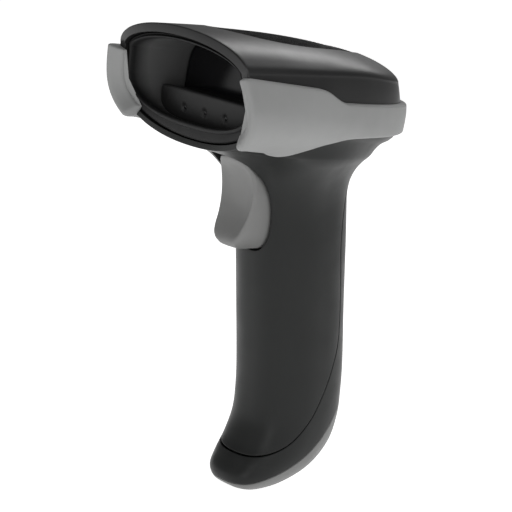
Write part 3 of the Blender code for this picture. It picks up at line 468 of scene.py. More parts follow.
# A screw from the tip of its shank to the floor of its recess: (radius, outward, depth of the lobes).
SCREW_PROFILE = [
    (1.3, -5.0, 0), (1.3, 0.0, 0), (2.6, 0.0, 0), (2.6, 0.9, 0), (2.5, 1.15, 0), (2.25, 1.35, 0),
    (1.9, 1.45, 0), (1.25, 1.5, 0.12), (1.2, 1.4, 0.14), (1.15, 0.5, 0.14), (0.1, 0.45, 0),
]
SCREW_SINK = 0.7
WELD = 0.004
FAR = 50.0  # a cutting field's value where it doesn't cut

# ---- Mesh tools


def place(points):
    """Design points in millimetres, as frame points in metres."""
    return (np.asarray(points, float) + [0, MID_SHIFT, -LOWEST_Z]) * MM


def grid_faces(rows, columns, closed):
    """Quads between rows of points, as indices into the flattened rows."""
    faces = []
    for row in range(rows - 1):
        for i in range(columns if closed else columns - 1):
            j = (i + 1) % columns
            low, high = row * columns, (row + 1) * columns
            faces.append((low + i, low + j, high + j, high + i))
    return faces


def sheet(rows, closed, weld=0.0):
    """An open surface through rows of points, still in millimetres."""
    rows = np.array(rows)
    bm = bmesh.new()
    mesh = bpy.data.meshes.new("sheet")
    mesh.from_pydata(rows.reshape(-1, 3).tolist(), [], grid_faces(*rows.shape[:2], closed))
    bm.from_mesh(mesh)
    bpy.data.meshes.remove(mesh)
    if weld:
        bmesh.ops.remove_doubles(bm, verts=bm.verts, dist=weld)
    return bm


def face_out(bm, inside):
    """Turns a surface's faces so that they look away from a point inside it."""
    bmesh.ops.recalc_face_normals(bm, faces=bm.faces)
    inside = Vector(inside)
    if sum(f.normal.dot(f.calc_center_median() - inside) * f.calc_area() for f in bm.faces) < 0:
        bmesh.ops.reverse_faces(bm, faces=bm.faces)
    bm.normal_update()


def fill_end(bm, ring, rounds=4, bulge=0.3):
    """Closes a surface over its last ring with shrinking rings and a point."""
    points = np.array([v.co for v in ring])
    centre = points.mean(axis=0)
    normal = np.cross(points[0] - centre, points[len(points) // 4] - centre)
    normal *= -math.copysign(1, normal[2]) / np.linalg.norm(normal)
    last = list(ring)
    count = len(last)
    for k in range(1, rounds):
        size = 1 - k / rounds
        lift = normal * bulge * (1 - size**2)
        new = [bm.verts.new(centre + (point - centre) * size + lift) for point in points]
        for i in range(count):
            j = (i + 1) % count
            bm.faces.new((last[i], last[j], new[j], new[i]))
        last = new
    tip = bm.verts.new(centre + normal * bulge)
    for i in range(count):
        bm.faces.new((last[i], last[(i + 1) % count], tip))


def cut(bm, field):
    """Cuts a surface along the zero line of a field of its points and keeps the positive side."""
    bm.verts.index_update()
    values = field(np.array([v.co for v in bm.verts]))
    values = np.where(np.abs(values) < 1e-4, 1e-4, values)
    new = set()
    for edge in list(bm.edges):
        a, b = values[edge.verts[0].index], values[edge.verts[1].index]
        if a * b < 0:
            _, vert = bmesh.utils.edge_split(edge, edge.verts[0], a / (a - b))
            new.add(vert)
    drop = [v for v in bm.verts if v not in new and values[v.index] < 0]
    for face in {f for v in new for f in v.link_faces}:
        ends = [v for v in face.verts if v in new]
        if len(ends) == 2:
            bmesh.utils.face_split(face, ends[0], ends[1])
    bmesh.ops.delete(bm, geom=drop, context="VERTS")
    bm.verts.index_update()


def thicken(bm, thickness, radius, steps=4):
    """Points and faces of a surface given its thickness, with a rounded lip round every open edge."""
    bmesh.ops.dissolve_degenerate(bm, dist=1e-4, edges=bm.edges)
    bm.normal_update()
    bm.verts.index_update()
    points = np.array([v.co for v in bm.verts])
    normals = np.array([v.normal for v in bm.verts])
    faces = [tuple(v.index for v in f.verts) for f in bm.faces]
    count = len(points)
    away = np.zeros((count, 3))
    edges = []
    for edge in bm.edges:
        if edge.is_boundary:
            loop = edge.link_loops[0]
            a, b = loop.vert.index, loop.link_loop_next.vert.index
            side = np.cross(points[b] - points[a], normals[a] + normals[b])
            side /= np.linalg.norm(side) + 1e-12
            away[a] += side
            away[b] += side
            edges.append((a, b))
    bm.free()
    rim = sorted({i for edge in edges for i in edge})
    slot = {vert: k for k, vert in enumerate(rim)}
    out = away[rim] / (np.linalg.norm(away[rim], axis=1)[:, None] + 1e-12)
    base, normal = points[rim], normals[rim]
    rings = []
    for k in range(1, steps + 1):
        turn = math.pi / 2 * k / steps
        rings.append(base + out * radius * math.sin(turn) - normal * radius * (1 - math.cos(turn)))
    rings.append(base + out * radius - normal * thickness)
    everything = np.concatenate([points, points - normals * thickness, *rings])
    faces += [tuple(i + count for i in reversed(face)) for face in faces]
    size = len(rim)
    starts = [2 * count + k * size for k in range(len(rings))]
    for a, b in edges:
        ladder_a = [a] + [start + slot[a] for start in starts] + [a + count]
        ladder_b = [b] + [start + slot[b] for start in starts] + [b + count]
        for k in range(len(ladder_a) - 1):
            faces.append((ladder_b[k], ladder_a[k], ladder_a[k + 1], ladder_b[k + 1]))
    return everything, faces


def add_object(name, data):
    obj = bpy.data.objects.new(name, data)
    bpy.context.scene.collection.objects.link(obj)
    return obj


def piece(name, points, faces, material, nodes, body="housing", sharp=32):
    """A finished piece in the frame that stands for CAD nodes and rides on a body."""
    mesh = bpy.data.meshes.new(name)
    mesh.from_pydata(place(points).tolist(), [], [tuple(face) for face in faces])
    bm = bmesh.new()
    bm.from_mesh(mesh)
    bmesh.ops.recalc_face_normals(bm, faces=bm.faces)
    bm.to_mesh(mesh)
    bm.free()
    mesh.shade_smooth()
    mesh.set_sharp_from_angle(angle=math.radians(sharp))
    mesh.materials.append(material)
    obj = add_object(name, mesh)
    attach(obj, body)
    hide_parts(*nodes)


def loft_piece(name, loops, material, nodes, joined=False, **rest):
    """A closed solid through closed loops; joined means that the last loop meets the first."""
    loops = np.array(loops)
    count = loops.shape[1]
    faces = grid_faces(*loops.shape[:2], True)
    points = loops.reshape(-1, 3)
    last = (loops.shape[0] - 1) * count
    if joined:
        faces += [(last + i, last + (i + 1) % count, (i + 1) % count, i) for i in range(count)]
    else:
        ends = points[:count].mean(axis=0), points[-count:].mean(axis=0)
        total = len(points)
        points = np.concatenate([points, ends])
        faces += [((i + 1) % count, i, total) for i in range(count)]
        faces += [(last + i, last + (i + 1) % count, total + 1) for i in range(count)]
    piece(name, points, faces, material, nodes, **rest)


def segment_gap(flat, a, b):
    """From the nearest point of a straight line between two points, to each flat point."""
    along = b - a
    share = (((flat - a) @ along) / max(along @ along, 1e-12)).clip(0, 1)
    return flat - (a + share[:, None] * along)


def path_distance(points, path):
    """Signed distance in the side view from a path of (y, z) points: positive in front or above."""
    path = np.asarray(path, float)
    flat = points[:, 1:]
    best = np.full(len(flat), 1e9)
    sign = np.ones(len(flat))
    for a, b in zip(path[:-1], path[1:]):
        gap = segment_gap(flat, a, b)
        distance = np.hypot(*gap.T)
        turn = (b - a)[1] * gap[:, 0] - (b - a)[0] * gap[:, 1]
        nearer = distance < best - 1e-9
        best = np.where(nearer, distance, best)
        sign = np.where(nearer, np.where(turn >= 0, 1, -1), sign)
    return best * sign


def loop_distance(flat, outline):
    """Signed distance of flat points from a closed outline: positive outside."""
    outline = np.asarray(outline, float)
    best = np.full(len(flat), 1e9)
    inside = np.zeros(len(flat), bool)
    for a, b in zip(outline, np.roll(outline, -1, axis=0)):
        best = np.minimum(best, np.hypot(*segment_gap(flat, a, b).T))
        crosses = (a[1] > flat[:, 1]) != (b[1] > flat[:, 1])
        with np.errstate(divide="ignore", invalid="ignore"):
            x = a[0] + (flat[:, 1] - a[1]) / (b[1] - a[1]) * (b[0] - a[0])
        inside ^= crosses & (flat[:, 0] < x)
    return np.where(inside, -best, best)


def smoothed(path):
    """A side-view path as one smooth curve, with points a millimetre apart."""
    along = lengths_along(path)
    return smooth_curve(np.column_stack([along, path]), np.arange(along[-1] + 1).clip(0, along[-1]))


def ease(value, low, high):
    """A smooth step from 0 at low to 1 at high."""
    share = ((np.asarray(value, float) - low) / (high - low)).clip(0, 1)
    return share * share * (3 - 2 * share)


# ---- The lower body


def mirrored_loop(half, grow, count):
    """A closed loop from the points of its +X half, tip to tip, moved outward by grow."""
    along = np.arange(len(half), dtype=float)
    curve = smooth_curve(np.column_stack([along, half]), np.linspace(0, along[-1], 400))
    half = spread(curve, count)
    loop = np.concatenate([half, (half * [-1, 1])[-2:0:-1]])
    return loop + loop_normals(loop) * grow


def tongue_outline(grow):
    """The trigger seen from the front, as a closed loop of (x, z) points."""
    return mirrored_loop(TRIGGER_OUTLINE, grow, 61)


def leaf_outline(grow):
    """Plan outline of the grille, as a closed loop: a long leaf that is widest near its front."""
    return mirrored_loop([(half, y) for y, half in LEAF_EDGE], grow, 110)


def flatten_seat(points):
    """Presses the sole onto the plane of its flat."""
    points = np.array(points, float)
    out = np.array([0, *SEAT_NORMAL])
    out /= np.linalg.norm(out)
    over = np.maximum((points - [0, *SEAT_POINT]) @ out, 0)
    return points - over[:, None] * out


def lower_body_sheet():
    rows = [flatten_seat(row) for row in lower_body_rows()]
    rows[0][:BODY_COLUMNS, 2] -= PARTING_GAP
    bm = sheet(rows, True)
    fill_end(bm, list(bm.verts)[-len(rows[0]):])
    face_out(bm, (0, 15, 110))
    return bm


def trigger_opening(points):
    """Distance outside the trigger's opening, for points on the front."""
    outline = tongue_outline(TRIGGER_GAP + SEAM_ROUND)
    distance = loop_distance(points[:, [0, 2]], outline)
    return np.where(points[:, 1] < TRIGGER_SLOT_BACK_Y, distance, FAR)


def round_hole(centre, direction, radius, reach):
    """A field that is negative inside a round hole, within reach of its centre."""
    centre, direction = np.array(centre, float), np.array(direction, float)
    direction = direction / np.linalg.norm(direction)

    def field(points):
        gap = points - centre
        along = gap @ direction
        across = np.linalg.norm(gap - along[:, None] * direction, axis=1)
        return np.where(np.abs(along) < reach, across - radius, FAR)

    return field


def back_of_handle(z):
    """Y of the handle's back at a height."""
    knots = [(HANDLE_BACK_Y, HANDLE_TOP_Z), *(back for _, back, _ in BOOT)]
    rows = sorted((height, y) for y, height in knots)
    if z > HANDLE_TOP_Z:
        return HANDLE_BACK_Y - HANDLE_RAKE * (z - HANDLE_TOP_Z)
    return float(np.interp(z, [row[0] for row in rows], [row[1] for row in rows]))


def make_shell(cad_node, material, fields, wall=WALL):
    """One shell of the lower body: what the fields leave of its surface, made thick."""
    bm = lower_body_sheet()
    for field in fields:
        cut(bm, field)
    points, faces = thicken(bm, wall, SEAM_ROUND)
    piece(f"{cad_node}_skin", points, faces, material, [cad_node])


def make_lower_body():
    seam, sole = smoothed(SHELL_SEAM), smoothed(SOLE_EDGE)

    def beside(path, side):
        return lambda points: side * path_distance(points, path) - SEAM_GAP / 2 - SEAM_ROUND

    screw_holes = []
    for height in HANDLE_SCREWS:
        centre = (0, back_of_handle(height), height)
        screw_holes.append(round_hole(centre, (0, 1, 0), SCREW_HOLE_RADIUS + SEAM_ROUND, 8.0))
    out = np.array([0, *SEAT_NORMAL])
    along = np.array([0, -out[2], out[1]])
    contact_holes = []
    for side in (-1, 1):
        centre = np.array([side * CONTACT_SPACING / 2, *SEAT_POINT]) + along * CONTACT_OFFSET
        contact_holes.append(round_hole(centre, out, CONTACT_HOLE_RADIUS + SEAM_ROUND / 2, 4.0))
    make_shell("front_shell", SATIN_BLACK, [beside(seam, 1), trigger_opening])
    make_shell("rear_shell", SATIN_BLACK, [beside(seam, -1), beside(sole, 1), *screw_holes])
    make_shell("base_cap", LIGHT_GREY, [beside(sole, -1), *contact_holes], SOLE_WALL)


# ---- The top cover and its grille


def make_top_cover():
    bm = sheet(cover_columns(COVER_COLUMNS, 16, 64), False, weld=WELD)
    face_out(bm, (0, 0, 140))
    outline = leaf_outline(LEAF_ROUND)
    cut(bm, lambda p: loop_distance(p[:, :2], outline))
    points, faces = thicken(bm, COVER_WALL, LEAF_ROUND)
    piece("top_cover_skin", points, faces, GLOSS_BLACK, ["top_cover"], sharp=50)


def roof_height():
    """A function that gives the height of the roof over plan points."""
    bm = sheet(cover_columns(161, 4, 60)[5:], False, weld=WELD)
    tree = BVHTree.FromBMesh(bm)
    bm.free()

    def height(x, y):
        hit = tree.ray_cast(Vector((x, y, 250.0)), Vector((0, 0, -1)))
        return hit[0].z if hit[0] is not None else 160.0

    return height


def make_grille():
    """Narrow ribs across a sunken leaf, each one rounded on top and stopped at the rim."""
    height = roof_height()
    outline = leaf_outline(0.1)
    half_outline = outline[: len(outline) // 2 + 1, ::-1]
    first, last = half_outline[0, 0] + 0.02, half_outline[-1, 0] - 0.02
    lengths = np.arange(first, last, GRILLE_STEP)
    widths = np.interp(lengths, *half_outline.T).clip(0.02)
    shares = np.linspace(-1, 1, 61)
    rows = []
    for y, half in zip(lengths, widths):
        wave = 0.5 + 0.5 * math.cos(2 * math.pi * y / GRILLE_PITCH)
        crest = wave**0.6
        row = []
        for share in shares:
            x = share * half
            edge = ease(abs(share) * half, half - 0.7, half)
            spine = 0.5 + 0.5 * math.cos(2 * math.pi * x / GRILLE_CELL)
            groove = GRILLE_DEEP * (1 - crest) * (0.35 + 0.65 * (1 - spine**3))
            row.append((x, y, height(x, y) - GRILLE_SINK - groove - 0.15 * edge))
        rows.append(row)
    rows = np.array(rows)
    count, width = rows.shape[:2]
    points = np.concatenate([rows.reshape(-1, 3), (rows - [0, 0, GRILLE_THICKNESS]).reshape(-1, 3)])
    faces = grid_faces(count, width, False)
    total = count * width
    faces += [tuple(i + total for i in reversed(face)) for face in faces]
    rim = list(range(width))
    rim += [row * width + width - 1 for row in range(1, count)]
    rim += [(count - 1) * width + k for k in range(width - 2, -1, -1)]
    rim += [row * width for row in range(count - 2, 0, -1)]
    for a, b in zip(rim, rim[1:] + rim[:1]):
        faces.append((b, a, a + total, b + total))
    piece("grille_skin", points, faces, GRILLE_BLACK, ["top_grille"], sharp=60)


# ---- The bumper


def make_bumper():
    """The band's section is a rounded bar; at the nose it rolls over the rim into a lip."""
    outline = head_outline(BUMPER_COLUMNS)
    low, high = level(BUMPER_BOTTOM, outline[:, 1]), level(BUMPER_TOP, outline[:, 1])
    parts = (1 - np.cos(np.linspace(0, math.pi, 41))) / 2
    parts = parts * 0.6 + np.linspace(0, 1, 41) * 0.4
    wall = np.array([head_side(outline, part, low, high) for part in parts])
    below = wall[..., 2] < PARTING_Z - 1
    below[:, [0, -1]] = False
    wall[below] = settle(wall[below])
    normal = surface_normals(wall)
    tall = high - low
    from_edge = np.minimum(parts[:, None], 1 - parts[:, None]) * tall[None, :]
    drop = (1 - (from_edge / BUMPER_ROUND).clip(0, 1)) ** 2
    proud = BUMPER_PROUD * np.sqrt(np.clip(1 - drop, 0, 1))
    outer = wall + normal * (BUMPER_EDGE + proud[..., None])
    inner = wall - normal * BUMPER_BED
    loops = [np.concatenate([outer[:, i], inner[::-1, i]]) for i in range(BUMPER_COLUMNS)]
    forward = np.array([0, -1.0, 0])
    along = lengths_along(LIP_CURVE)
    lip = smooth_curve(np.column_stack([along, LIP_CURVE]), np.linspace(0, along[-1], 30)[1:])
    for end in (0, -1):
        rim, out = wall[:, end], normal[:, end] * [1, 0, 1]
        share = (proud[:, end] / BUMPER_PROUD)[:, None]
        hook = []
        for wide, far in lip:
            shell = rim + out * (wide * share if wide > 0 else wide) + forward * far * (0.3 + 0.7 * share)
            bed = rim + out * (min(wide, 0) - BUMPER_BED) + forward * 0.1
            hook.append(np.concatenate([shell, bed[::-1]]))
        loops = hook[::-1] + loops if end == 0 else loops + hook
    loft_piece("bumper_band", loops, RUBBER_GREY, ["bumper"], sharp=50)


# ---- The nose


def make_bezel():
    count = 240
    rim = nose_rim_loop(count)
    angle = np.linspace(-math.pi, math.pi, count, endpoint=False)
    low = np.clip(-np.sin(angle), 0, 1) ** 0.7
    loops = []
    for side, bottom, setback in BEZEL_EDGE:
        inset = side + (bottom - side) * low
        loops.append(inset_loop(rim, inset) + [0, setback, 0])
    back = funnel_end(count)
    start = loops[-1]
    for part in np.linspace(0, 1, 26)[1:]:
        loops.append(start + (back - start) * part)
    behind = [0, BEZEL_END, 0]
    loops.append(back + behind)
    outer = [inset_loop(back, -BEZEL_WALL) + behind]
    for part in (0.66, 0.33):
        outer.append(loops[0] + (outer[0] - loops[0]) * part)
    loft_piece("nose_bezel_skin", loops + outer, FUNNEL_PAINTED_LIGHT_AND_SHADE, ["nose_bezel"], joined=True, sharp=45)


def ledge_front(x, z):
    """Y of the ledge's front face, which curves back at its ends."""
    share = min(abs(x) / LEDGE_HALF_WIDTH, 1.0)
    curve = 1 - (1 - share**LEDGE_POWER) ** (1 / LEDGE_POWER)
    return LEDGE_FRONT_Y - LEDGE_TILT * (z - LEDGE_TILT_Z) + LEDGE_DEPTH * curve


def make_ledge():
    """A bar across the nose's lower half, with a rounded top edge, a groove behind it and three dimples."""
    turns = np.linspace(-math.pi / 2, math.pi / 2, 181)
    across = LEDGE_HALF_WIDTH * bent(np.sin(turns), LEDGE_POWER)
    across = np.unique(np.round(np.concatenate([across, np.linspace(-16, 16, 97)]), 4))
    rows = []
    for x in across:
        top = LEDGE_TOP_Z - LEDGE_FALL * (abs(x) / LEDGE_HALF_WIDTH) ** 6
        row = []
        for z in np.linspace(LEDGE_BOTTOM_Z, top - LEDGE_EDGE, 46):
            y = ledge_front(x, z)
            for side in (-1, 0, 1):
                sideways, upward = (x - side * LENS_SPACING) / DIMPLE_HALF[0], (z - LENS_Z) / DIMPLE_HALF[1]
                y += DIMPLE_DEPTH * (1 - float(ease(math.hypot(sideways, upward), *DIMPLE_BOWL)))
            row.append((x, y, z))
        front = ledge_front(x, top - LEDGE_EDGE)
        for turn in np.radians(np.linspace(15, 90, 7)):
            back, down = 1 - math.cos(turn), 1 - math.sin(turn)
            row.append((x, front + LEDGE_EDGE * back, top - LEDGE_EDGE * down))
        room = min((LEDGE_BACK_Y - front) / 14.0, 1.0)
        row += [(x, front + y * room, top + z) for y, z in LEDGE_GROOVE]
        start = row[-1][1]
        for share in np.linspace(0, 1, 9)[1:]:
            row.append((x, start + (LEDGE_BACK_Y - start) * share, top + LEDGE_GROOVE[-1][1]))
        row.append((x, LEDGE_BACK_Y, LEDGE_BOTTOM_Z))
        rows.append(row)
    loft_piece("chin_ledge_skin", rows, NOSE_BLACK, ["chin_ledge"], sharp=40)


def make_lenses():
    """A shallow dome of smoked plastic at the bottom of each dimple."""
    turns = np.linspace(0, 2 * math.pi, 40, endpoint=False)
    for side, word in ((-1, "left"), (0, "middle"), (1, "right")):
        x = side * LENS_SPACING
        loops = []
        for size, lift in LENS_DOME:
            loop = []
            for turn in turns:
                z = LENS_Z + DIMPLE_HALF[1] * size * math.sin(turn)
                y = ledge_front(x, z) + DIMPLE_DEPTH - lift
                loop.append((x + DIMPLE_HALF[0] * size * math.cos(turn), y, z))
            loops.append(loop)
        loft_piece(f"lens_dome_{word}", loops, SMOKED, [f"led_lens_{word}"], sharp=40)


# ---- The trigger


def make_trigger():
    """The paddle: a hollow face between two raised edges, on side walls that run back into the grip."""
    face = [(PADDLE_BOTTOM_Z, -3.5)] + [(z, y) for y, z in reversed(TRIGGER_FACE)]
    back = [(PADDLE_BOTTOM_Z, -0.4)] + [(z, y - 0.5) for y, z in TRIGGER_BACK] + [(128.4, -12.4)]
    outline = tongue_outline(-TRIGGER_EASE)
    centre = np.array([0, PADDLE_MIDDLE_Z])

    def ring(size, depth):
        flat = centre + (outline - centre) * size
        return np.column_stack([flat[:, 0], level(face, flat[:, 1]) + depth, flat[:, 1]])

    start = ring(1.0, PADDLE_RIM)
    rear = np.column_stack([outline[:, 0], level(back, outline[:, 1]), outline[:, 1]])
    rear[:, 1] = np.maximum(rear[:, 1], start[:, 1] + 0.2)
    rings = [rear + (start - rear) * part for part in (0, 0.3, 0.6, 0.85)]
    rings += [ring(size, depth) for size, depth in PADDLE_FACE]
    loft_piece("trigger_paddle", rings, TRIGGER_GREY, ["trigger"], body="trigger", sharp=40)


# ---- Materials

PATCH_SCALE = 45.0
SMEAR_SCALE = PATCH_SCALE * 2.3


def node(tree, kind, **values):
    """A shader node with some of its properties and inputs set."""
    made = tree.nodes.new("ShaderNode" + kind)
    for key, value in values.items():
        if key in made.inputs:
            made.inputs[key].default_value = value
        else:
            setattr(made, key, value)
    return made


def link(output, socket):
    output.id_data.links.new(output, socket)


def noise(tree, where, scale, detail=3.0, stretch=None):
    made = node(tree, "TexNoise", Scale=scale, Detail=detail, Roughness=0.6)
    if stretch:
        mapping = node(tree, "Mapping", Scale=stretch)
        link(where, mapping.inputs["Vector"])
        where = mapping.outputs["Vector"]
    link(where, made.inputs["Vector"])
    return made.outputs["Fac"]


def remap(tree, value, low, high, start=0.3, end=0.7):
    ends = {"From Min": start, "From Max": end, "To Min": low, "To Max": high}
    made = node(tree, "MapRange", **ends)
    link(value, made.inputs["Value"])
    return made.outputs["Result"]


def mixed(tree, factor, a, b):
    """A blend of two colours, each of them a colour or an output."""
    made = node(tree, "Mix", data_type="RGBA")
    link(factor, made.inputs["Factor"])
    for key, colour in (("A", a), ("B", b)):
        if isinstance(colour, tuple):
            made.inputs[key].default_value = (*colour, 1)
        else:
            link(colour, made.inputs[key])
    return made.outputs["Result"]


def surface(name, slot, dark, light, rough, grain, depth, stretch=None, **sockets):
    """A moulded or machined finish: two close colours, uneven gloss and a fine grain in relief.

    rough is the lowest and highest roughness, grain the grain's scale and depth its height in metres.
    """
    made = bpy.data.materials.new(name)
    made.use_nodes = True
    made["slot"] = slot
    tree = made.node_tree
    shader = tree.nodes["Principled BSDF"]
    for key, value in sockets.items():
        shader.inputs[key.replace("_", " ")].default_value = value
    where = node(tree, "TexCoord").outputs["Object"]
    cloud = noise(tree, where, PATCH_SCALE)
    fine = noise(tree, where, grain, 2.0, stretch)
    blend = node(tree, "Math", operation="MULTIPLY_ADD")
    blend.inputs[1].default_value = 0.35
    link(fine, blend.inputs[0])
    link(remap(tree, cloud, 0.0, 0.65), blend.inputs[2])
    link(mixed(tree, blend.outputs[0], dark, light), shader.inputs["Base Color"])
    smear = noise(tree, where, SMEAR_SCALE, 4.0)
    link(remap(tree, smear, *rough), shader.inputs["Roughness"])
    relief = node(tree, "Bump", Strength=0.6, Distance=depth)
    link(fine, relief.inputs["Height"])
    link(relief.outputs["Normal"], shader.inputs["Normal"])
    return made


def circuit_board(name, slot):
    """Solder mask over a web of tracks, with plated pads."""
    made = surface(name, slot, (0.006, 0.07, 0.028), (0.012, 0.115, 0.05), (0.28, 0.42), 900.0, 2e-5)
    tree = made.node_tree
    shader = tree.nodes["Principled BSDF"]
    where = tree.nodes["Texture Coordinate"].outputs["Object"]
    tracks = node(
        tree, "TexBrick", Scale=210.0, Color1=(0.008, 0.085, 0.033, 1),
        Color2=(0.01, 0.1, 0.04, 1), Mortar=(0.03, 0.2, 0.09, 1), **{"Mortar Size": 0.03},
    )
    link(where, tracks.inputs["Vector"])
    pads = node(tree, "TexVoronoi", Scale=320.0)
    link(where, pads.inputs["Vector"])
    nearness = remap(tree, pads.outputs["Distance"], 1.0, 0.0, 0.1, 0.13)
    colour = mixed(tree, nearness, tracks.outputs["Color"], (0.55, 0.42, 0.2))
    link(colour, shader.inputs["Base Color"])
    return made


SATIN_BLACK = surface(
    "satin_black_plastic", "satin_black", (0.0092, 0.0099, 0.0097), (0.0116, 0.0124, 0.012), (0.36, 0.46),
    2600.0, 3.5e-5, Specular_IOR_Level=0.2,
)
GLOSS_BLACK = surface(
    "gloss_black_plastic", "gloss_black", (0.006, 0.006, 0.0062), (0.009, 0.009, 0.0092), (0.33, 0.4),
    1900.0, 8e-6, Specular_IOR_Level=0.42,
)
NOSE_BLACK = surface(
    "nose_black_plastic", "matt_black", (0.009, 0.009, 0.0092), (0.012, 0.012, 0.0122), (0.48, 0.58),
    2400.0, 3e-5, Specular_IOR_Level=0.3,
)
# Painted light: the bezel is the same matte black as the nose, but its colour is painted several times
# lighter to stand for the light that falls into the funnel.
FUNNEL_PAINTED_LIGHT_AND_SHADE = surface(
    "funnel_black_painted_light_and_shade", "matt_black", (0.07, 0.0702, 0.0703), (0.084, 0.0842, 0.0843), (0.5, 0.6),
    2400.0, 3e-5, Specular_IOR_Level=0.22,
)
GRILLE_BLACK = surface(
    "grille_black_plastic", "matt_black", (0.0025, 0.0025, 0.0028), (0.005, 0.005, 0.0055), (0.34, 0.46),
    2200.0, 2e-5, Specular_IOR_Level=0.2,
)
LIGHT_GREY = surface(
    "sole_grey_plastic", "light_grey", (0.11, 0.11, 0.108), (0.135, 0.136, 0.133), (0.4, 0.5), 2300.0, 3e-5,
)
TRIGGER_GREY = surface(
    "trigger_grey_plastic", "light_grey", (0.12, 0.12, 0.118), (0.145, 0.146, 0.143), (0.38, 0.48),
    2300.0, 2.5e-5,
)
RUBBER_GREY = surface(
    "bumper_grey_rubber", "rubber_grey", (0.185, 0.187, 0.185), (0.215, 0.218, 0.216), (0.56, 0.68),
    2800.0, 3e-5, Sheen_Weight=0.12, Sheen_Roughness=0.5,
)
DARK_RUBBER = surface(
    "sealing_rubber", "dark_rubber", (0.012, 0.012, 0.012), (0.02, 0.02, 0.02), (0.7, 0.85), 2000.0, 4e-5,
)
SMOKED = surface(
    "smoked_acrylic", "smoked", (0.004, 0.004, 0.0045), (0.006, 0.006, 0.007), (0.12, 0.18), 500.0, 1e-6,
    Specular_IOR_Level=0.25,
)
CASTING = surface(
    "cast_alloy", "casting", (0.3, 0.3, 0.31), (0.4, 0.4, 0.41), (0.4, 0.6), 1500.0, 6e-5, Metallic=0.85,
)
STEEL = surface(
    "plated_steel", "steel", (0.46, 0.46, 0.47), (0.56, 0.56, 0.56), (0.22, 0.38), 1400.0, 1e-5,
    stretch=(1.0, 1.0, 0.08), Metallic=1.0,
)
GOLD = surface(
    "contact_gold", "gold", (0.78, 0.54, 0.2), (0.86, 0.63, 0.27), (0.18, 0.32), 1600.0, 8e-6, Metallic=1.0,
)
CHIP_BLACK = surface(
    "chip_black_resin", "chip_black", (0.012, 0.012, 0.012), (0.02, 0.02, 0.02), (0.45, 0.6), 2600.0, 3e-5,
)
LED_WHITE = surface(
    "led_resin", "led_white", (0.72, 0.72, 0.66), (0.82, 0.82, 0.78), (0.12, 0.22), 1200.0, 5e-6,
)
CELL_BLUE = surface(
    "cell_sleeve", "cell_blue", (0.03, 0.085, 0.27), (0.045, 0.115, 0.34), (0.25, 0.38), 700.0, 1.5e-5,
)
BOARD_GREEN = circuit_board("circuit_board", "board_green")


def paint_nose_shade(material, dark, start, end):
    """Paints shade into a finish: blends it into a darker colour towards the leaning nose, between two
    places on Y in metres.
    """
    tree = material.node_tree
    shader = tree.nodes["Principled BSDF"]
    colour = shader.inputs["Base Color"].links[0].from_socket
    along = node(tree, "SeparateXYZ")
    link(tree.nodes["Texture Coordinate"].outputs["Object"], along.inputs["Vector"])
    upright = node(tree, "Math", operation="MULTIPLY_ADD")
    link(along.outputs["Z"], upright.inputs[0])
    upright.inputs[1].default_value = NOSE_SLOPE
    link(along.outputs["Y"], upright.inputs[2])
    rise = NOSE_SLOPE * PARTING_Z * MM
    distance = remap(tree, upright.outputs[0], 0.0, 1.0, start + rise, end + rise)
    link(mixed(tree, distance, dark, colour), shader.inputs["Base Color"])


# Painted shade: the funnel turns near black towards its front edge at the rim.
paint_nose_shade(FUNNEL_PAINTED_LIGHT_AND_SHADE, (0.006, 0.006, 0.0062), -0.0425, -0.0365)

CARRIED_OVER = {
    SMOKED: ("scan_window", "engine_lens"),
    DARK_RUBBER: ("window_gasket",),
    CASTING: ("scan_engine",),
    STEEL: (
        "engine_bracket", "board_screw_left", "board_screw_right", "trigger_pin", "trigger_frame",
        "trigger_spring",
    ),
    BOARD_GREEN: ("illumination_board", "main_board", "switch_board", "contact_board"),
    LED_WHITE: ("led_left", "led_middle", "led_right", "status_led"),
    CHIP_BLACK: ("decoder_chip", "sounder", "trigger_switch"),
    TRIGGER_GREY: ("switch_plunger",),
    CELL_BLUE: ("battery_cell",),
    NOSE_BLACK: ("battery_cradle",),
    GOLD: ("contact_left", "contact_right"),
}


def dress_frame():
    """Gives each CAD node that stays its finish."""
    for material, names in CARRIED_OVER.items():
        for name in names:
            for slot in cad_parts[name].material_slots:
                slot.material = material


# ---- The screws in the handle's back


def make_screws():
    """Pan heads with a six-lobed recess."""
    turns = np.linspace(0, 2 * math.pi, 72, endpoint=False)
    for number, height in enumerate(HANDLE_SCREWS, 1):
        base = back_of_handle(height) - SCREW_SINK
        loops = []
        for radius, out, lobes in SCREW_PROFILE:
            size = radius * (1 + lobes * np.cos(6 * turns))
            y = np.full(len(turns), base + out)
            loops.append(np.column_stack([size * np.cos(turns), y, height + size * np.sin(turns)]))
        loft_piece(f"handle_screw_turned_{number}", loops, STEEL, [f"handle_screw_{number}"], sharp=35)


# ---- Camera, floor and light

CAMERA_BACK = (0.6808, -0.7055, 0.1973)  # from the target to the camera
CAMERA_UP = (-0.2505, 0.0290, 0.9679)
CAMERA_TARGET = (0.0, 1.0, 91.0)  # in the design's millimetres
CAMERA_DISTANCE = 0.620
CAMERA_LENS = 119.5
FLOOR_GLOW = 0.86
AIR_LIGHT = 0.2
LIGHT_TARGET = (0.0, 0.0, 0.1)
# Each light: name, place in metres, size, watts.
LIGHTS = (
    ("key_right", (1.1, -0.1, 0.55), (1.1, 0.8), 4.6),
    ("front", (0.75, -1.1, 0.3), (0.5, 0.5), 2.6),
    ("left", (-1.0, -0.5, 0.3), (0.7, 0.8), 0.45),
    ("top_back", (-0.42, 0.95, 0.9), (0.7, 0.3), 3.0),
    ("shoulder", (0.25, 0.75, 1.0), (0.5, 0.35), 0.9),
    ("toe", (-0.25, -1.05, 0.5), (0.8, 0.7), 1.0),
)


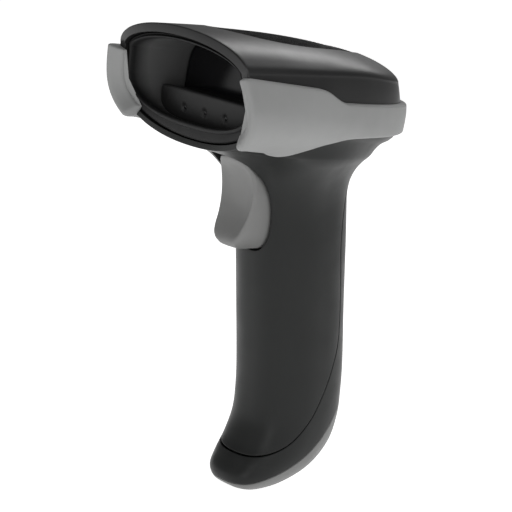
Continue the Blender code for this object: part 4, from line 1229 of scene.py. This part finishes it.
def aim(obj, place_m, target_m, up=None):
    """Puts an object at a place, looking at a target, optionally with its own up direction."""
    back = (Vector(place_m) - Vector(target_m)).normalized()
    if up is None:
        obj.rotation_mode = "QUATERNION"
        obj.rotation_quaternion = (-back).to_track_quat("-Z", "Y")
    else:
        right = Vector(up).cross(back).normalized()
        turn = Matrix((right, back.cross(right), back)).transposed()
        obj.rotation_euler = turn.to_euler()
    obj.location = place_m


def make_camera():
    data = bpy.data.cameras.new("camera")
    data.sensor_width = 36.0
    data.lens = CAMERA_LENS
    data.clip_start, data.clip_end = 0.01, 100.0
    camera = add_object("camera", data)
    target = Vector(place(CAMERA_TARGET))
    aim(camera, target + Vector(CAMERA_BACK).normalized() * CAMERA_DISTANCE, target, CAMERA_UP)
    bpy.context.scene.camera = camera


def soft_light(name, place_m, size, power):
    data = bpy.data.lights.new(name, "AREA")
    data.shape = "RECTANGLE"
    data.size, data.size_y = size
    data.energy = power
    aim(add_object(name, data), place_m, LIGHT_TARGET)


def make_studio():
    bm = bmesh.new()
    bmesh.ops.create_circle(bm, cap_ends=True, radius=12.0, segments=96)
    mesh = bpy.data.meshes.new("studio_floor")
    bm.to_mesh(mesh)
    bm.free()
    floor = add_object("studio_floor", mesh)
    floor.location.z = -0.0005
    paper = bpy.data.materials.new("studio_paper")
    paper.use_nodes = True
    shader = paper.node_tree.nodes["Principled BSDF"]
    shader.inputs["Base Color"].default_value = (0.9, 0.9, 0.9, 1)
    shader.inputs["Roughness"].default_value = 0.9
    shader.inputs["Emission Color"].default_value = (1, 1, 1, 1)
    shader.inputs["Emission Strength"].default_value = FLOOR_GLOW
    mesh.materials.append(paper)

    world = bpy.data.worlds.new("studio_air")
    world.use_nodes = True
    air = world.node_tree.nodes["Background"]
    air.inputs["Color"].default_value = (1, 1, 1, 1)
    air.inputs["Strength"].default_value = AIR_LIGHT
    bpy.context.scene.world = world
    for name, where, size, power in LIGHTS:
        soft_light(name, where, size, power)
    bpy.context.scene.view_settings.view_transform = "Standard"


dress_frame()
make_camera()
make_studio()
make_lower_body()
make_top_cover()
make_grille()
make_bumper()
make_bezel()
make_ledge()
make_lenses()
make_trigger()
make_screws()
